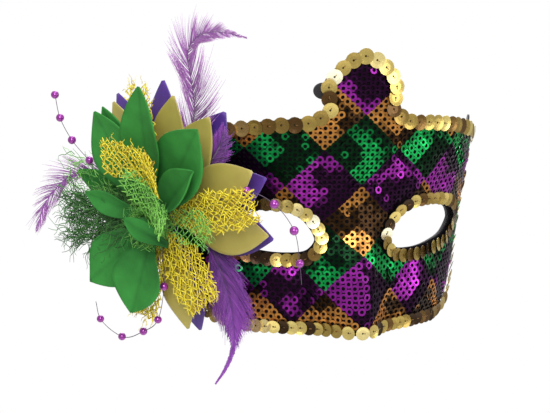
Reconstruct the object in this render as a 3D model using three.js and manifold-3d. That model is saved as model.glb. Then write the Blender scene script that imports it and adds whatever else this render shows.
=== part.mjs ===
// Sequin masquerade mask with a cloth flower, feathers and bead sprays at one temple.
// Millimetres, +Z up, the face of the mask looks along -Y.
// The origin is the inside of the shell at the bridge of the nose.
import * as THREE from 'three';
import { mergeVertices } from 'three/addons/utils/BufferGeometryUtils.js';
import Module from 'manifold-3d';

const wasm = await Module();
wasm.setup();

// Face form
const FACE_RADIUS = 85; // radius of the horizontal section at eye level
const FACE_TAPER = 0.19; // gain of radius for each millimetre of height
const FACE_BULGE = 0.001; // loss of radius with the square of the height
const BROW_FORWARD = 3; // how far the brow and the cheek stand in front of eye level
const BROW_REACH = 45; // height over which they come forward
const NOSE_HEIGHT = 12; // how far the nose stands out at the lower edge
const NOSE_TOP = 24; // level where the nose starts
const NOSE_BOTTOM = -44; // level of the nose tip
const NOSE_WIDTH = 11.6; // half width of the nose at the tip
const BRIDGE_WIDTH = 12; // half width of the nose at its start
const SOCKET_DEPTH = 2.5; // shallow hollow around each eye hole
const SOCKET = { s: 45, z: -3, wide: 22, high: 13 };
const REFERENCE_RADIUS = 82; // turns an arc length s along the face into an angle

// Layers of the mask wall, as distances out from the inside of the shell
const SHELL = [0, 1.2];
const CLOTH = [1.6, 2.6];
const TRIM = { under: 3.4, thin: 0.6, thick: 1.3 };
const FLOWER_SEAT = 2.9;

// Outline of the mask, in arc length s and height z
const HALF_ARC = 104; // from the nose line to the temple edge
const TOP_CENTRE = 54.9; // top edge beside the crest
const TOP_DROP = 21; // fall of the top edge towards the temple
const BOTTOM_CENTRE = -52; // bottom edge below the nose
const CORNER_START = 66; // arc length where the lower corner starts to rise
const CORNER_RISE = 32; // rise of the lower corner at the temple
const CORNER_POWER = 2.27;
const TRIM_INSET = 2; // trim's middle line, in from the edge
const CREST_ROWS = [
  // height, half width
  { z: 58.5, half: 16.2 },
  { z: 64.5, half: 16.8 },
  { z: 71, half: 16.8 },
  { z: 76.5, half: 13.6 },
  { z: 81.5, half: 9 },
  { z: 85, half: 4.6 },
  { z: 86.8, half: 1.6 },
];
const CREST_FOOT = 17;
const CREST_COLUMNS = 6;
const SIDE_COLUMNS = 9;
const BODY_ROWS = 9;

// Middle line of the trim round the eye hole on the positive side
const EYE_PATH = [
  { s: 15.3, z: -7 },
  { s: 20.5, z: 4.5 },
  { s: 29, z: 10.3 },
  { s: 42, z: 11.3 },
  { s: 56, z: 9 },
  { s: 68, z: 4.5 },
  { s: 74.5, z: -4 },
  { s: 66, z: -12.5 },
  { s: 50, z: -16.3 },
  { s: 34, z: -17.3 },
  { s: 21, z: -15 },
];
const EYE_INSET = 3.6; // from the trim's middle line to the edge of the hole
const EYE_POINTS = 22;
const CUT_DEPTH = 9;

// Cup sequins of the trim
const SEQUIN_RADIUS = 3.75;
const SEQUIN_PITCH = 6;
const SEQUIN_STATIONS = [0, 0.5]; // parts of one pitch

// Where the lines of the trim are taken from the outline, as arc lengths from the temple to the nose line
const TOP_TRIM_STATIONS = [102, 80, 55, 34, 23.5];
const BOTTOM_TRIM_STATIONS = [101, 93, 80, 64, 44, 22, 0];
const TEMPLE_TRIM_HEIGHTS = [24, 4];

// Flower: place on the face, post, and the layers of its stack
const FLOWER = { angle: THREE.MathUtils.degToRad(-61), z: 0 };
const POST = { radius: 4.4, height: 28 };
const PETAL_ROOT = 5; // where petals start, out from the post's axis
const CAP_ROOT = -20; // where the leaf across the post's end starts
const CLOTH_WALL = 1;
const PETAL_REACH = 65; // radius at which a layer's droop is measured
const LAYERS = {
  // height at the axis, rise in degrees, droop at the reach, cup of a petal's edges
  purple_low: { height: 2.6, rise: 2, droop: 5, cup: 0.2 },
  purple_high: { height: 4.0, rise: 2.5, droop: 4.8, cup: 0.2 },
  gold_low: { height: 7.3, rise: 5, droop: 4.5, cup: 0.3 },
  gold_high: { height: 8.7, rise: 6, droop: 4.2, cup: 0.4 },
  net_low: { height: 11.8, rise: 8.5, droop: 3.5, cup: 0.6 },
  green_back: { height: 13.2, rise: 10.5, droop: 3.2, cup: 0.9 },
  green_low: { height: 14.6, rise: 13, droop: 3, cup: 1.2 },
  green_high: { height: 16.1, rise: 16, droop: 2.5, cup: 2.5 },
  net_high: { height: 17.7, rise: 26, droop: 2, cup: 3 },
  inner: { height: 20.6, rise: 29, droop: 1, cup: 3 },
  cap: { height: 30, rise: -8, droop: 0, cup: -0.8 },
};
const PETALS = {
  // layer, direction in degrees from the front, length, half width
  purple_petal: [
    { layer: 'purple_low', angle: 125, length: 69, half: 10 },
    { layer: 'purple_high', angle: 94, length: 68, half: 10 },
    { layer: 'purple_low', angle: 59, length: 66, half: 11.5 },
    { layer: 'purple_high', angle: 25, length: 67, half: 11 },
    { layer: 'purple_low', angle: -2, length: 63, half: 11 },
    { layer: 'purple_high', angle: -75, length: 59, half: 10 },
    { layer: 'purple_low', angle: -137, length: 50, half: 11 },
    { layer: 'purple_high', angle: -178, length: 55, half: 11 },
  ],
  gold_petal: [
    { layer: 'gold_low', angle: 121, length: 64, half: 9.5 },
    { layer: 'gold_high', angle: 80, length: 65, half: 10 },
    { layer: 'gold_low', angle: 60, length: 64, half: 11.5 },
    { layer: 'gold_high', angle: 29, length: 69, half: 11.5 },
    { layer: 'gold_low', angle: 2, length: 67, half: 11.5 },
    { layer: 'gold_high', angle: -74, length: 56, half: 10 },
    { layer: 'gold_low', angle: -127, length: 52, half: 10 },
    { layer: 'gold_high', angle: -153, length: 48, half: 10 },
  ],
  yellow_net_petal: [
    { layer: 'net_low', angle: 95, length: 70, half: 6 },
    { layer: 'net_low', angle: 16, length: 71, half: 8 },
    { layer: 'net_low', angle: -47, length: 50, half: 12 },
    { layer: 'net_low', angle: -102, length: 53, half: 8 },
    { layer: 'net_high', angle: 80, length: 46, half: 16 },
  ],
  green_petal: [
    { layer: 'green_low', angle: 118, length: 61, half: 14 },
    { layer: 'green_back', angle: 116, length: 62, half: 10 },
    { layer: 'green_high', angle: 82, length: 73, half: 11.5 },
    { layer: 'green_low', angle: 53, length: 68, half: 15 },
    { layer: 'green_high', angle: 41, length: 53, half: 9.5 },
    { layer: 'green_high', angle: 163, length: 39, half: 5 },
    { layer: 'cap', angle: 162, length: 9.5, half: 4.2 },
    { layer: 'green_low', angle: -138, length: 53, half: 13 },
    { layer: 'green_high', angle: -99, length: 46, half: 15 },
    { layer: 'gold_low', angle: 166, length: 63, half: 7 },
  ],
  green_net_petal: [
    { layer: 'inner', angle: 49, length: 32, half: 15 },
    { layer: 'net_low', angle: -174, length: 62, half: 12 },
    { layer: 'green_low', angle: 7, length: 44, half: 7.5 },
    { layer: 'gold_high', angle: 164, length: 68, half: 9 },
  ],
};
const PETAL_TIP = 0.5; // half width at the point
const PETAL_FOOT = 1.2; // further half width at the root
const PETAL_FULLNESS = 1.35; // moves the widest place towards the tip
const PETAL_ROWS = [0, 0.2, 0.4, 0.6, 0.8, 1]; // parts of the length
const PETAL_SIDES = [1, 0, -1]; // parts of the half width

// Net petals: strands and gaps take turns along both lists, from a strand to a strand
const NET_KINDS = ['yellow_net_petal', 'green_net_petal'];
const NET_ROWS = [0, 0.28, 0.4, 0.46, 0.58, 0.64, 0.76, 0.82, 0.92, 1];
const NET_SIDES = [1, 0.78, 0.12, -0.12, -0.78, -1];
const NET_SPREAD = 0.45; // part of the length where a net is at its full width
const NET_DRAW = 0.25; // part of the width that is drawn in again at its blunt end

// Feathers: middle line of each in the flower's plane, height above the seat, half width at the fullest.
// A low fullness moves the widest place towards the root, and a high sharpness thins both ends.
const FEATHERS = {
  feather_upper: {
    half: 13,
    fullness: 0.8,
    sharpness: 1.6,
    path: [
      { a: 1.9, b: 5.2, h: 6 },
      { a: 5, b: 14, h: 7.2 },
      { a: 12, b: 33, h: 7.2 },
      { a: 21, b: 57, h: 7.2 },
      { a: 20, b: 70, h: 7.2 },
      { a: 18, b: 80, h: 7 },
      { a: 19, b: 87, h: 7.5 },
      { a: 25, b: 93, h: 8 },
      { a: 34, b: 97, h: 9 },
      { a: 48, b: 98, h: 10 },
      { a: 59, b: 97, h: 10 },
    ],
  },
  feather_lower: {
    half: 14,
    fullness: 0.6,
    sharpness: 3.5,
    path: [
      { a: 5.3, b: -1.9, h: 6 },
      { a: 16, b: -3, h: 6.6 },
      { a: 26, b: -7, h: 6.6 },
      { a: 31, b: -17, h: 6.4 },
      { a: 36, b: -30, h: 5.5 },
      { a: 39, b: -45, h: 4.5 },
      { a: 38, b: -60, h: 3.5 },
      { a: 32, b: -73, h: 3 },
      { a: 24, b: -84, h: 3 },
    ],
  },
  feather_side: {
    half: 8,
    fullness: 1.3,
    sharpness: 1.2,
    path: [
      { a: -5.2, b: 1.9, h: 6 },
      { a: -25, b: 10, h: 6.3 },
      { a: -45, b: 15, h: 6.4 },
      { a: -65, b: 13, h: 6.2 },
      { a: -79, b: 4, h: 7 },
      { a: -89, b: -8, h: 8.5 },
      { a: -95, b: -23, h: 10 },
    ],
  },
  feather_fluff: {
    half: 6.5,
    fullness: 1.3,
    sharpness: 1.2,
    path: [
      { a: 4.3, b: 3.6, h: 6 },
      { a: 20, b: 24, h: 6.1 },
      { a: 30, b: 34, h: 6.1 },
      { a: 37, b: 44, h: 6.1 },
      { a: 39, b: 52, h: 6.1 },
    ],
  },
};
const FEATHER_TIP = 0.5; // half width at both ends
const FEATHER_STEPS = 10;
const FEATHER_WALL = 1;

// Bead sprays: thread route in the flower's plane and height, with a bead where one is named
const THREAD_RADIUS = 0.4;
const THREAD_SIDES = 5;
const BEAD_RADIUS = 2.1;
const BEAD_SIDES = 10;
const BEAD_RINGS = 5;
const SPRAYS = {
  bead_spray_upper: [
    { a: -4, b: 3.2, h: 10.9 },
    { a: -20, b: 10.5, h: 13.2 },
    { a: -34, b: 18, h: 14.8 },
    { a: -45.4, b: 24.5, h: 15.5, bead: true },
    { a: -56.9, b: 33.5, h: 16, bead: true },
    { a: -62.6, b: 44.7, h: 18, bead: true },
    { a: -63.2, b: 56.9, h: 20, bead: true },
  ],
  bead_spray_eye: [
    { a: 4.9, b: 1.5, h: 10.9 },
    { a: 24, b: 9, h: 13 },
    { a: 43, b: 18, h: 14.2 },
    { a: 59.8, b: 24.8, h: 14.5, bead: true },
    { a: 74.6, b: 20.1, h: 12, bead: true },
    { a: 83, b: 7.6, h: 8, bead: true },
    { a: 83.4, b: -9.2, h: 5, bead: true },
    { a: 83.4, b: -20, h: 4 },
  ],
  bead_spray_lower: [
    { a: 1.2, b: -5, h: 14.2 },
    { a: 5, b: -19, h: 17 },
    { a: 7.8, b: -31.1, h: 20, bead: true },
    { a: 3.5, b: -49, h: 21, bead: true },
    { a: -12.2, b: -59.8, h: 16, bead: true },
    { a: -32, b: -67.9, h: 12, bead: true },
    { a: -46.3, b: -60.9, h: 13, bead: true },
    { a: -49, b: -52, h: 13 },
  ],
};
const SPRAY_STEPS = 13;

const COLOURS = {
  mask_shell: { color: 0x17151a, roughness: 0.85, metalness: 0 },
  sequin_cloth: { color: 0x4d1557, roughness: 0.35, metalness: 0.4 },
  trim: { color: 0xc9a24a, roughness: 0.25, metalness: 0.9 },
  flower_post: { color: 0x2f6b2c, roughness: 0.8, metalness: 0 },
  purple_petal: { color: 0x4b2382, roughness: 0.5, metalness: 0 },
  gold_petal: { color: 0xa8904a, roughness: 0.45, metalness: 0 },
  yellow_net_petal: { color: 0xd9c22a, roughness: 0.6, metalness: 0 },
  green_petal: { color: 0x2f8a38, roughness: 0.7, metalness: 0 },
  green_net_petal: { color: 0x4f9a2e, roughness: 0.6, metalness: 0 },
  feather: { color: 0x8a3aa8, roughness: 0.8, metalness: 0 },
  bead: { color: 0x8e1f8a, roughness: 0.25, metalness: 0.4 },
};

const material = (kind) => new THREE.MeshStandardMaterial({ ...COLOURS[kind], side: THREE.DoubleSide });

const mask = new THREE.Group();
mask.name = 'sequin_masquerade_mask';

function addPiece(name, kind, geometry) {
  const mesh = new THREE.Mesh(geometry, material(kind));
  mesh.name = name;
  mask.add(mesh);
}

// Face form: a tapered round face with a nose and two shallow eye sockets

const gauss = (x, width) => Math.exp(-((x / width) ** 2));

const noseRise = (z) => NOSE_HEIGHT * THREE.MathUtils.smoothstep(-z, -NOSE_TOP, -NOSE_BOTTOM);

function facePoint(angle, z) {
  const radius = FACE_RADIUS + FACE_TAPER * z - FACE_BULGE * z * z;
  const front = -BROW_FORWARD * THREE.MathUtils.smoothstep(Math.abs(z), 0, BROW_REACH);
  const width = THREE.MathUtils.mapLinear(noseRise(z), 0, NOSE_HEIGHT, BRIDGE_WIDTH, NOSE_WIDTH);
  const x = radius * Math.sin(angle);
  const arc = Math.abs(REFERENCE_RADIUS * angle);
  const socket = SOCKET_DEPTH * gauss(arc - SOCKET.s, SOCKET.wide) * gauss(z - SOCKET.z, SOCKET.high);
  const y = front + radius - radius * Math.cos(angle) - noseRise(z) * gauss(x, width) + noseRise(0) + socket;
  return new THREE.Vector3(x, y, z);
}

function faceNormal(angle, z) {
  const step = 0.01;
  const across = facePoint(angle + step, z).sub(facePoint(angle - step, z));
  const up = facePoint(angle, z + step).sub(facePoint(angle, z - step));
  return across.cross(up).normalize();
}

function onFace(s, z, out) {
  const angle = s / REFERENCE_RADIUS;
  return facePoint(angle, z).addScaledVector(faceNormal(angle, z), out);
}

// Sheets: a flat net of points and quads, given two faces and an edge

function sheetSolid(outer, inner, quads) {
  const count = outer.length;
  const index = [];
  const edges = new Map();
  for (const [a, b, c, d] of quads) {
    index.push(a, b, c, a, c, d);
    index.push(count + a, count + c, count + b, count + a, count + d, count + c);
    for (const [from, to] of [[a, b], [b, c], [c, d], [d, a]]) {
      if (!edges.delete(`${to},${from}`)) edges.set(`${from},${to}`, [from, to]);
    }
  }
  for (const [from, to] of edges.values()) {
    index.push(to, from, count + from, to, count + from, count + to);
  }
  const geometry = new THREE.BufferGeometry().setFromPoints([...outer, ...inner]);
  geometry.setIndex(index);
  geometry.computeVertexNormals();
  return geometry;
}

function gridQuads(rows, columns, start = 0) {
  const quads = [];
  for (let row = 0; row < rows; row += 1) {
    for (let column = 0; column < columns; column += 1) {
      const corner = start + row * (columns + 1) + column;
      quads.push([corner, corner + 1, corner + columns + 2, corner + columns + 1]);
    }
  }
  return quads;
}

// Solids for cutting and joining

function toSolid(geometry) {
  const bare = geometry.clone();
  bare.deleteAttribute('normal');
  bare.deleteAttribute('uv');
  const merged = mergeVertices(bare, 1e-4);
  return new wasm.Manifold(new wasm.Mesh({
    numProp: 3,
    vertProperties: new Float32Array(merged.attributes.position.array),
    triVerts: new Uint32Array(merged.index.array),
  }));
}

function fromSolid(solid) {
  const mesh = solid.getMesh();
  const geometry = new THREE.BufferGeometry();
  geometry.setAttribute('position', new THREE.BufferAttribute(mesh.vertProperties, mesh.numProp));
  geometry.setIndex(new THREE.BufferAttribute(mesh.triVerts, 1));
  geometry.computeVertexNormals();
  return geometry;
}

// Mask outline

const topEdge = (s) => TOP_CENTRE - TOP_DROP * (s / HALF_ARC) ** 2;

function bottomEdge(s) {
  const past = Math.max(0, Math.abs(s) - CORNER_START) / (HALF_ARC - CORNER_START);
  return BOTTOM_CENTRE + CORNER_RISE * past ** CORNER_POWER;
}

function maskColumns() {
  const columns = [];
  for (let i = 0; i < SIDE_COLUMNS; i += 1) {
    columns.push(THREE.MathUtils.lerp(-HALF_ARC, -CREST_FOOT, i / SIDE_COLUMNS));
  }
  for (let i = 0; i < CREST_COLUMNS; i += 1) {
    columns.push(THREE.MathUtils.lerp(-CREST_FOOT, CREST_FOOT, i / CREST_COLUMNS));
  }
  for (let i = 0; i <= SIDE_COLUMNS; i += 1) {
    columns.push(THREE.MathUtils.lerp(CREST_FOOT, HALF_ARC, i / SIDE_COLUMNS));
  }
  return columns;
}

// The net of the whole mask: rows from the bottom edge to the top edge, then the rows of the crest
function maskNet() {
  const columns = maskColumns();
  const spots = [];
  for (let row = 0; row <= BODY_ROWS; row += 1) {
    for (const s of columns) {
      spots.push({ s, z: THREE.MathUtils.lerp(bottomEdge(s), topEdge(s), row / BODY_ROWS) });
    }
  }
  const quads = gridQuads(BODY_ROWS, columns.length - 1);
  let below = BODY_ROWS * columns.length + SIDE_COLUMNS;
  for (const { z, half } of CREST_ROWS) {
    const first = spots.length;
    for (let i = 0; i <= CREST_COLUMNS; i += 1) {
      spots.push({ s: THREE.MathUtils.lerp(-half, half, i / CREST_COLUMNS), z });
    }
    for (let i = 0; i < CREST_COLUMNS; i += 1) {
      quads.push([below + i, below + i + 1, first + i + 1, first + i]);
    }
    below = first;
  }
  return { spots, quads };
}

function wallSolid([inside, outside]) {
  const { spots, quads } = maskNet();
  const outer = spots.map(({ s, z }) => onFace(s, z, outside));
  const inner = spots.map(({ s, z }) => onFace(s, z, inside));
  return toSolid(sheetSolid(outer, inner, quads));
}

// Eye holes

function eyeCurve(side) {
  const points = EYE_PATH.map(({ s, z }) => new THREE.Vector3(side * s, z, 0));
  return new THREE.CatmullRomCurve3(side > 0 ? points : points.reverse(), true, 'centripetal');
}

// A curve's point moved to its left by a distance, in arc length and height
function besideCurve(curve, part, distance) {
  const point = curve.getPointAt(part);
  const along = curve.getTangentAt(part);
  return { s: point.x - along.y * distance, z: point.y + along.x * distance };
}

function eyeCutter(side) {
  const curve = eyeCurve(side);
  const rim = [];
  for (let i = 0; i < EYE_POINTS; i += 1) {
    rim.push(besideCurve(curve, i / EYE_POINTS, -EYE_INSET));
  }
  const middle = { s: side * SOCKET.s, z: SOCKET.z };
  const spots = [...rim, middle];
  const quads = [];
  for (let i = 0; i < EYE_POINTS; i += 2) {
    quads.push([EYE_POINTS, (i + 2) % EYE_POINTS, i + 1, i]);
  }
  const outer = spots.map(({ s, z }) => onFace(s, z, CUT_DEPTH));
  const inner = spots.map(({ s, z }) => onFace(s, z, -CUT_DEPTH));
  return toSolid(sheetSolid(outer, inner, quads));
}

const eyeCutters = [eyeCutter(-1), eyeCutter(1)];

function holedWall(layer) {
  return fromSolid(eyeCutters.reduce((wall, cutter) => wall.subtract(cutter), wallSolid(layer)));
}

addPiece('mask_shell', 'mask_shell', holedWall(SHELL));
addPiece('sequin_cloth', 'sequin_cloth', holedWall(CLOTH));

// Trim: a band of overlapping round sequins along a line on the face

function sequinBand(curve, closed) {
  const count = Math.round(curve.getLength() / SEQUIN_PITCH);
  const outer = [];
  const inner = [];
  for (let i = 0; i < count; i += 1) {
    for (const part of SEQUIN_STATIONS) {
      const fromMiddle = (part - 0.5) * SEQUIN_PITCH;
      const half = Math.sqrt(SEQUIN_RADIUS ** 2 - fromMiddle ** 2);
      const thickness = THREE.MathUtils.lerp(TRIM.thin, TRIM.thick, part);
      for (const side of [1, -1]) {
        const { s, z } = besideCurve(curve, (i + part) / count, side * half);
        outer.push(onFace(s, z, TRIM.under + thickness));
        inner.push(onFace(s, z, TRIM.under));
      }
    }
  }
  const stations = outer.length / 2;
  const quads = [];
  for (let i = 0; i < (closed ? stations : stations - 1); i += 1) {
    const next = (i + 1) % stations;
    quads.push([2 * i, 2 * i + 1, 2 * next + 1, 2 * next]);
  }
  return sheetSolid(outer, inner, quads);
}

const openCurve = (points) => new THREE.CatmullRomCurve3(
  points.map(({ s, z }) => new THREE.Vector3(s, z, 0)), false, 'centripetal');

// One half of a line on the mask and its mirror image, joined at the nose line
function mirrored(half) {
  const left = half.map(({ s, z }) => ({ s: -s, z }));
  return openCurve([...left, ...half.slice(0, -1).reverse()]);
}

function topTrimPath() {
  const edge = TOP_TRIM_STATIONS.map((s) => ({ s, z: topEdge(s) - TRIM_INSET }));
  const crest = CREST_ROWS.slice(0, -2).map(({ z, half }) => ({ s: half - TRIM_INSET, z }));
  const tip = { s: 0, z: CREST_ROWS.at(-1).z - TRIM_INSET };
  return mirrored([...edge, ...crest, tip]);
}

function bottomTrimPath() {
  const temple = TEMPLE_TRIM_HEIGHTS.map((z) => ({ s: HALF_ARC - TRIM_INSET, z }));
  const edge = BOTTOM_TRIM_STATIONS.map((s) => ({ s, z: bottomEdge(s) + TRIM_INSET }));
  return mirrored([...temple, ...edge]);
}

addPiece('top_trim', 'trim', sequinBand(topTrimPath(), false));
addPiece('bottom_trim', 'trim', sequinBand(bottomTrimPath(), false));
addPiece('eye_trim_right', 'trim', sequinBand(eyeCurve(-1), true));
addPiece('eye_trim_left', 'trim', sequinBand(eyeCurve(1), true));

// Flower: a stands for the way to the front, b for the way up, h for the way out from the face

const flowerOut = faceNormal(FLOWER.angle, FLOWER.z);
const flowerUp = new THREE.Vector3(0, 0, 1).addScaledVector(flowerOut, -flowerOut.z).normalize();
const flowerFront = flowerUp.clone().cross(flowerOut);
const flowerSeat = facePoint(FLOWER.angle, FLOWER.z).addScaledVector(flowerOut, FLOWER_SEAT);

function inFlower(a, b, h) {
  return flowerSeat.clone()
    .addScaledVector(flowerFront, a).addScaledVector(flowerUp, b).addScaledVector(flowerOut, h);
}

function layerHeight(layer, radius) {
  const slope = Math.tan(THREE.MathUtils.degToRad(layer.rise));
  return layer.height + slope * radius - layer.droop * (radius / PETAL_REACH) ** 3;
}

function postGeometry() {
  const geometry = new THREE.CylinderGeometry(POST.radius, POST.radius, POST.height, 16);
  const turn = new THREE.Matrix4().makeBasis(flowerFront, flowerOut, flowerUp.clone().negate());
  return geometry.applyMatrix4(turn.setPosition(inFlower(0, 0, POST.height / 2)));
}

addPiece('flower_post', 'flower_post', postGeometry());

// Half width of a pointed petal along its length, from root to tip
function petalHalf(half, part) {
  return PETAL_TIP + PETAL_FOOT * (1 - part) + half * Math.sin(Math.PI * part ** PETAL_FULLNESS);
}

// Half width of a net that widens from its root to a blunt end
function netHalf(half, part) {
  const spread = THREE.MathUtils.smoothstep(part, 0, NET_SPREAD);
  return PETAL_FOOT + half * spread * (1 - NET_DRAW * THREE.MathUtils.smoothstep(part, 0.8, 1));
}

function petalGeometry({ layer, angle, length, half }, rows, sides) {
  const turn = THREE.MathUtils.degToRad(angle);
  const { cup } = LAYERS[layer];
  const root = layer === 'cap' ? CAP_ROOT : PETAL_ROOT;
  const halfAt = rows === NET_ROWS ? netHalf : petalHalf;
  const outer = [];
  const inner = [];
  for (const part of rows) {
    const along = THREE.MathUtils.lerp(root, length, part);
    for (const side of sides) {
      const across = side * halfAt(half, part);
      const a = along * Math.cos(turn) - across * Math.sin(turn);
      const b = along * Math.sin(turn) + across * Math.cos(turn);
      const h = layerHeight(LAYERS[layer], Math.hypot(a, b)) + cup * side * side * Math.sin(Math.PI * part);
      outer.push(inFlower(a, b, h + CLOTH_WALL / 2));
      inner.push(inFlower(a, b, h - CLOTH_WALL / 2));
    }
  }
  const columns = sides.length - 1;
  const quads = gridQuads(rows.length - 1, columns);
  const isGap = (i) => rows === NET_ROWS && Math.floor(i / columns) % 2 === 1 && (i % columns) % 2 === 1;
  return sheetSolid(outer, inner, quads.filter((quad, i) => !isGap(i)));
}

for (const [kind, petals] of Object.entries(PETALS)) {
  const [rows, sides] = NET_KINDS.includes(kind) ? [NET_ROWS, NET_SIDES] : [PETAL_ROWS, PETAL_SIDES];
  petals.forEach((petal, i) => addPiece(`${kind}_${i + 1}`, kind, petalGeometry(petal, rows, sides)));
}

// Feathers: a thin blade along a curved quill, widest at its middle

function featherHalf({ half, fullness, sharpness }, part) {
  const swell = Math.sin(Math.PI * Math.min(1, part ** fullness));
  return FEATHER_TIP + half * Math.max(0, swell) ** sharpness;
}

function featherGeometry(feather) {
  const { path } = feather;
  const curve = new THREE.CatmullRomCurve3(path.map(({ a, b, h }) => new THREE.Vector3(a, b, h)));
  const outer = [];
  const inner = [];
  for (let step = 0; step <= FEATHER_STEPS; step += 1) {
    const part = step / FEATHER_STEPS;
    const quill = curve.getPointAt(part);
    const along = curve.getTangentAt(part);
    const reach = Math.hypot(along.x, along.y);
    for (const side of [1, 0, -1]) {
      const across = side * featherHalf(feather, part) / reach;
      const a = quill.x - along.y * across;
      const b = quill.y + along.x * across;
      outer.push(inFlower(a, b, quill.z + FEATHER_WALL / 2));
      inner.push(inFlower(a, b, quill.z - FEATHER_WALL / 2));
    }
  }
  return sheetSolid(outer, inner, gridQuads(FEATHER_STEPS, 2));
}

for (const [name, feather] of Object.entries(FEATHERS)) {
  addPiece(name, 'feather', featherGeometry(feather));
}

// Bead sprays: beads fused to their thread

function sprayGeometry(route) {
  const points = route.map(({ a, b, h }) => inFlower(a, b, h));
  const section = new THREE.Shape(new THREE.Path().absarc(0, 0, THREAD_RADIUS, 0, 2 * Math.PI)
    .getSpacedPoints(THREAD_SIDES).slice(0, -1));
  const thread = new THREE.ExtrudeGeometry(section, {
    steps: SPRAY_STEPS,
    extrudePath: new THREE.CatmullRomCurve3(points, false, 'centripetal'),
  });
  let spray = toSolid(thread);
  route.forEach(({ bead }, i) => {
    if (!bead) return;
    const ball = new THREE.SphereGeometry(BEAD_RADIUS, BEAD_SIDES, BEAD_RINGS);
    spray = spray.add(toSolid(ball.translate(points[i].x, points[i].y, points[i].z)));
  });
  return fromSolid(spray);
}

for (const [name, route] of Object.entries(SPRAYS)) {
  addPiece(name, 'bead', sprayGeometry(route));
}

export default mask;
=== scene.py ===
"""Looks of a sequin masquerade mask with a cloth flower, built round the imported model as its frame.

Tables and helpers count in millimetres, and meshes are written in metres.
On the mask's face, s is the arc length from the nose line and z is the height.
In the flower, a points to the front, b up and h out from the face.
"""
import math
import random
from collections import namedtuple

import bmesh
import bpy
import numpy as np
from bpy.props import FloatProperty, FloatVectorProperty, PointerProperty
from mathutils import Matrix, Vector, geometry, noise


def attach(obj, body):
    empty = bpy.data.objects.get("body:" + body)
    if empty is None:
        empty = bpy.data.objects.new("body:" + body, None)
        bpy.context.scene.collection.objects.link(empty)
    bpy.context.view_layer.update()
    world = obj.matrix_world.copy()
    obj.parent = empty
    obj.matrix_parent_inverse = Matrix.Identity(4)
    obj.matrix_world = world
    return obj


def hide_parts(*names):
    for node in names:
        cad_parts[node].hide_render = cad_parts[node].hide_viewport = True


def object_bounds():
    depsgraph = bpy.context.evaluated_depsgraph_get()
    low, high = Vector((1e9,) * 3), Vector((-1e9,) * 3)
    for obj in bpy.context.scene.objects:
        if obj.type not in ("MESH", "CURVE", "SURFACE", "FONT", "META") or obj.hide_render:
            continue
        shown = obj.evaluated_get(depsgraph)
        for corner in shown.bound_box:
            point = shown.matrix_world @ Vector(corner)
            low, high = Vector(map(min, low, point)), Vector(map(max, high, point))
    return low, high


bl_info = {
    "name": "Sequin masquerade mask",
    "version": (1, 0, 0),
    "blender": (4, 5, 0),
    "location": "View3D > Sidebar > Mask",
    "description": "Dresses the packed mask with sequins, cloth petals, feathers and beads",
    "category": "Object",
}

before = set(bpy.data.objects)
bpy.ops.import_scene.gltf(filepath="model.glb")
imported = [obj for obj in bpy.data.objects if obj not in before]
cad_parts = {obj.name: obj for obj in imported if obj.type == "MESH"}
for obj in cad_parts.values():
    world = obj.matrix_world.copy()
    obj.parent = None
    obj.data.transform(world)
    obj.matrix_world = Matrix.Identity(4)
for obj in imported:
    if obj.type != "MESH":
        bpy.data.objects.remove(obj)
CAD_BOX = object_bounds()
BODY = "root"
MM = 0.001

# Face form, as in the solids
FACE_RADIUS = 85.0
FACE_TAPER = 0.19
FACE_BULGE = 0.001
BROW_FORWARD = 3.0
BROW_REACH = 45.0
NOSE_HEIGHT = 12.0
NOSE_TOP = 24.0
NOSE_BOTTOM = -44.0
NOSE_WIDTH = 11.6
BRIDGE_WIDTH = 12.0
SOCKET_DEPTH = 2.5
SOCKET = {"s": 45.0, "z": -3.0, "wide": 22.0, "high": 13.0}
REFERENCE_RADIUS = 82.0

# Layers of the wall, out from the inside of the shell
LINING_OUT = 1.2
CLOTH_OUT = 2.1
RING_OUT = 2.75
TRIM_OUT = 3.9
FLOWER_SEAT = 2.9

# Outline
HALF_ARC = 104.0
TOP_CENTRE = 54.9
TOP_DROP = 21.0
BOTTOM_CENTRE = -52.0
CORNER_START = 66.0
CORNER_RISE = 32.0
CORNER_POWER = 2.27
TRIM_INSET = 2.0
CREST = [
    # height, half width
    (58.5, 16.2),
    (64.5, 16.8),
    (71.0, 16.8),
    (76.5, 13.6),
    (81.5, 9.0),
    (85.0, 4.6),
    (86.8, 1.6),
]
CREST_FOOT = 17.0
TOP_TRIM_STATIONS = [102.0, 80.0, 55.0, 34.0, 23.5]
BOTTOM_TRIM_STATIONS = [101.0, 93.0, 80.0, 64.0, 44.0, 22.0, 0.0]
TEMPLE_TRIM_HEIGHTS = [24.0, 4.0]
EYE_PATH = [
    # arc length, height
    (15.3, -7.0),
    (20.5, 4.5),
    (29.0, 10.3),
    (42.0, 11.3),
    (56.0, 9.0),
    (68.0, 4.5),
    (74.5, -4.0),
    (66.0, -12.5),
    (50.0, -16.3),
    (34.0, -17.3),
    (21.0, -15.0),
]
EYE_INSET = 3.6

# Points along the outline and in the sheets that follow it
LOWER_POINTS = 40
UPPER_POINTS = 24
CREST_POINTS = 6  # between two rows of the crest
CREST_RUN_IN = 5.0  # arc length from the crest's foot to the start of its rounding
EYE_HOLE_POINTS = 60
SHEET_SPACING = 3.0

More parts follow.
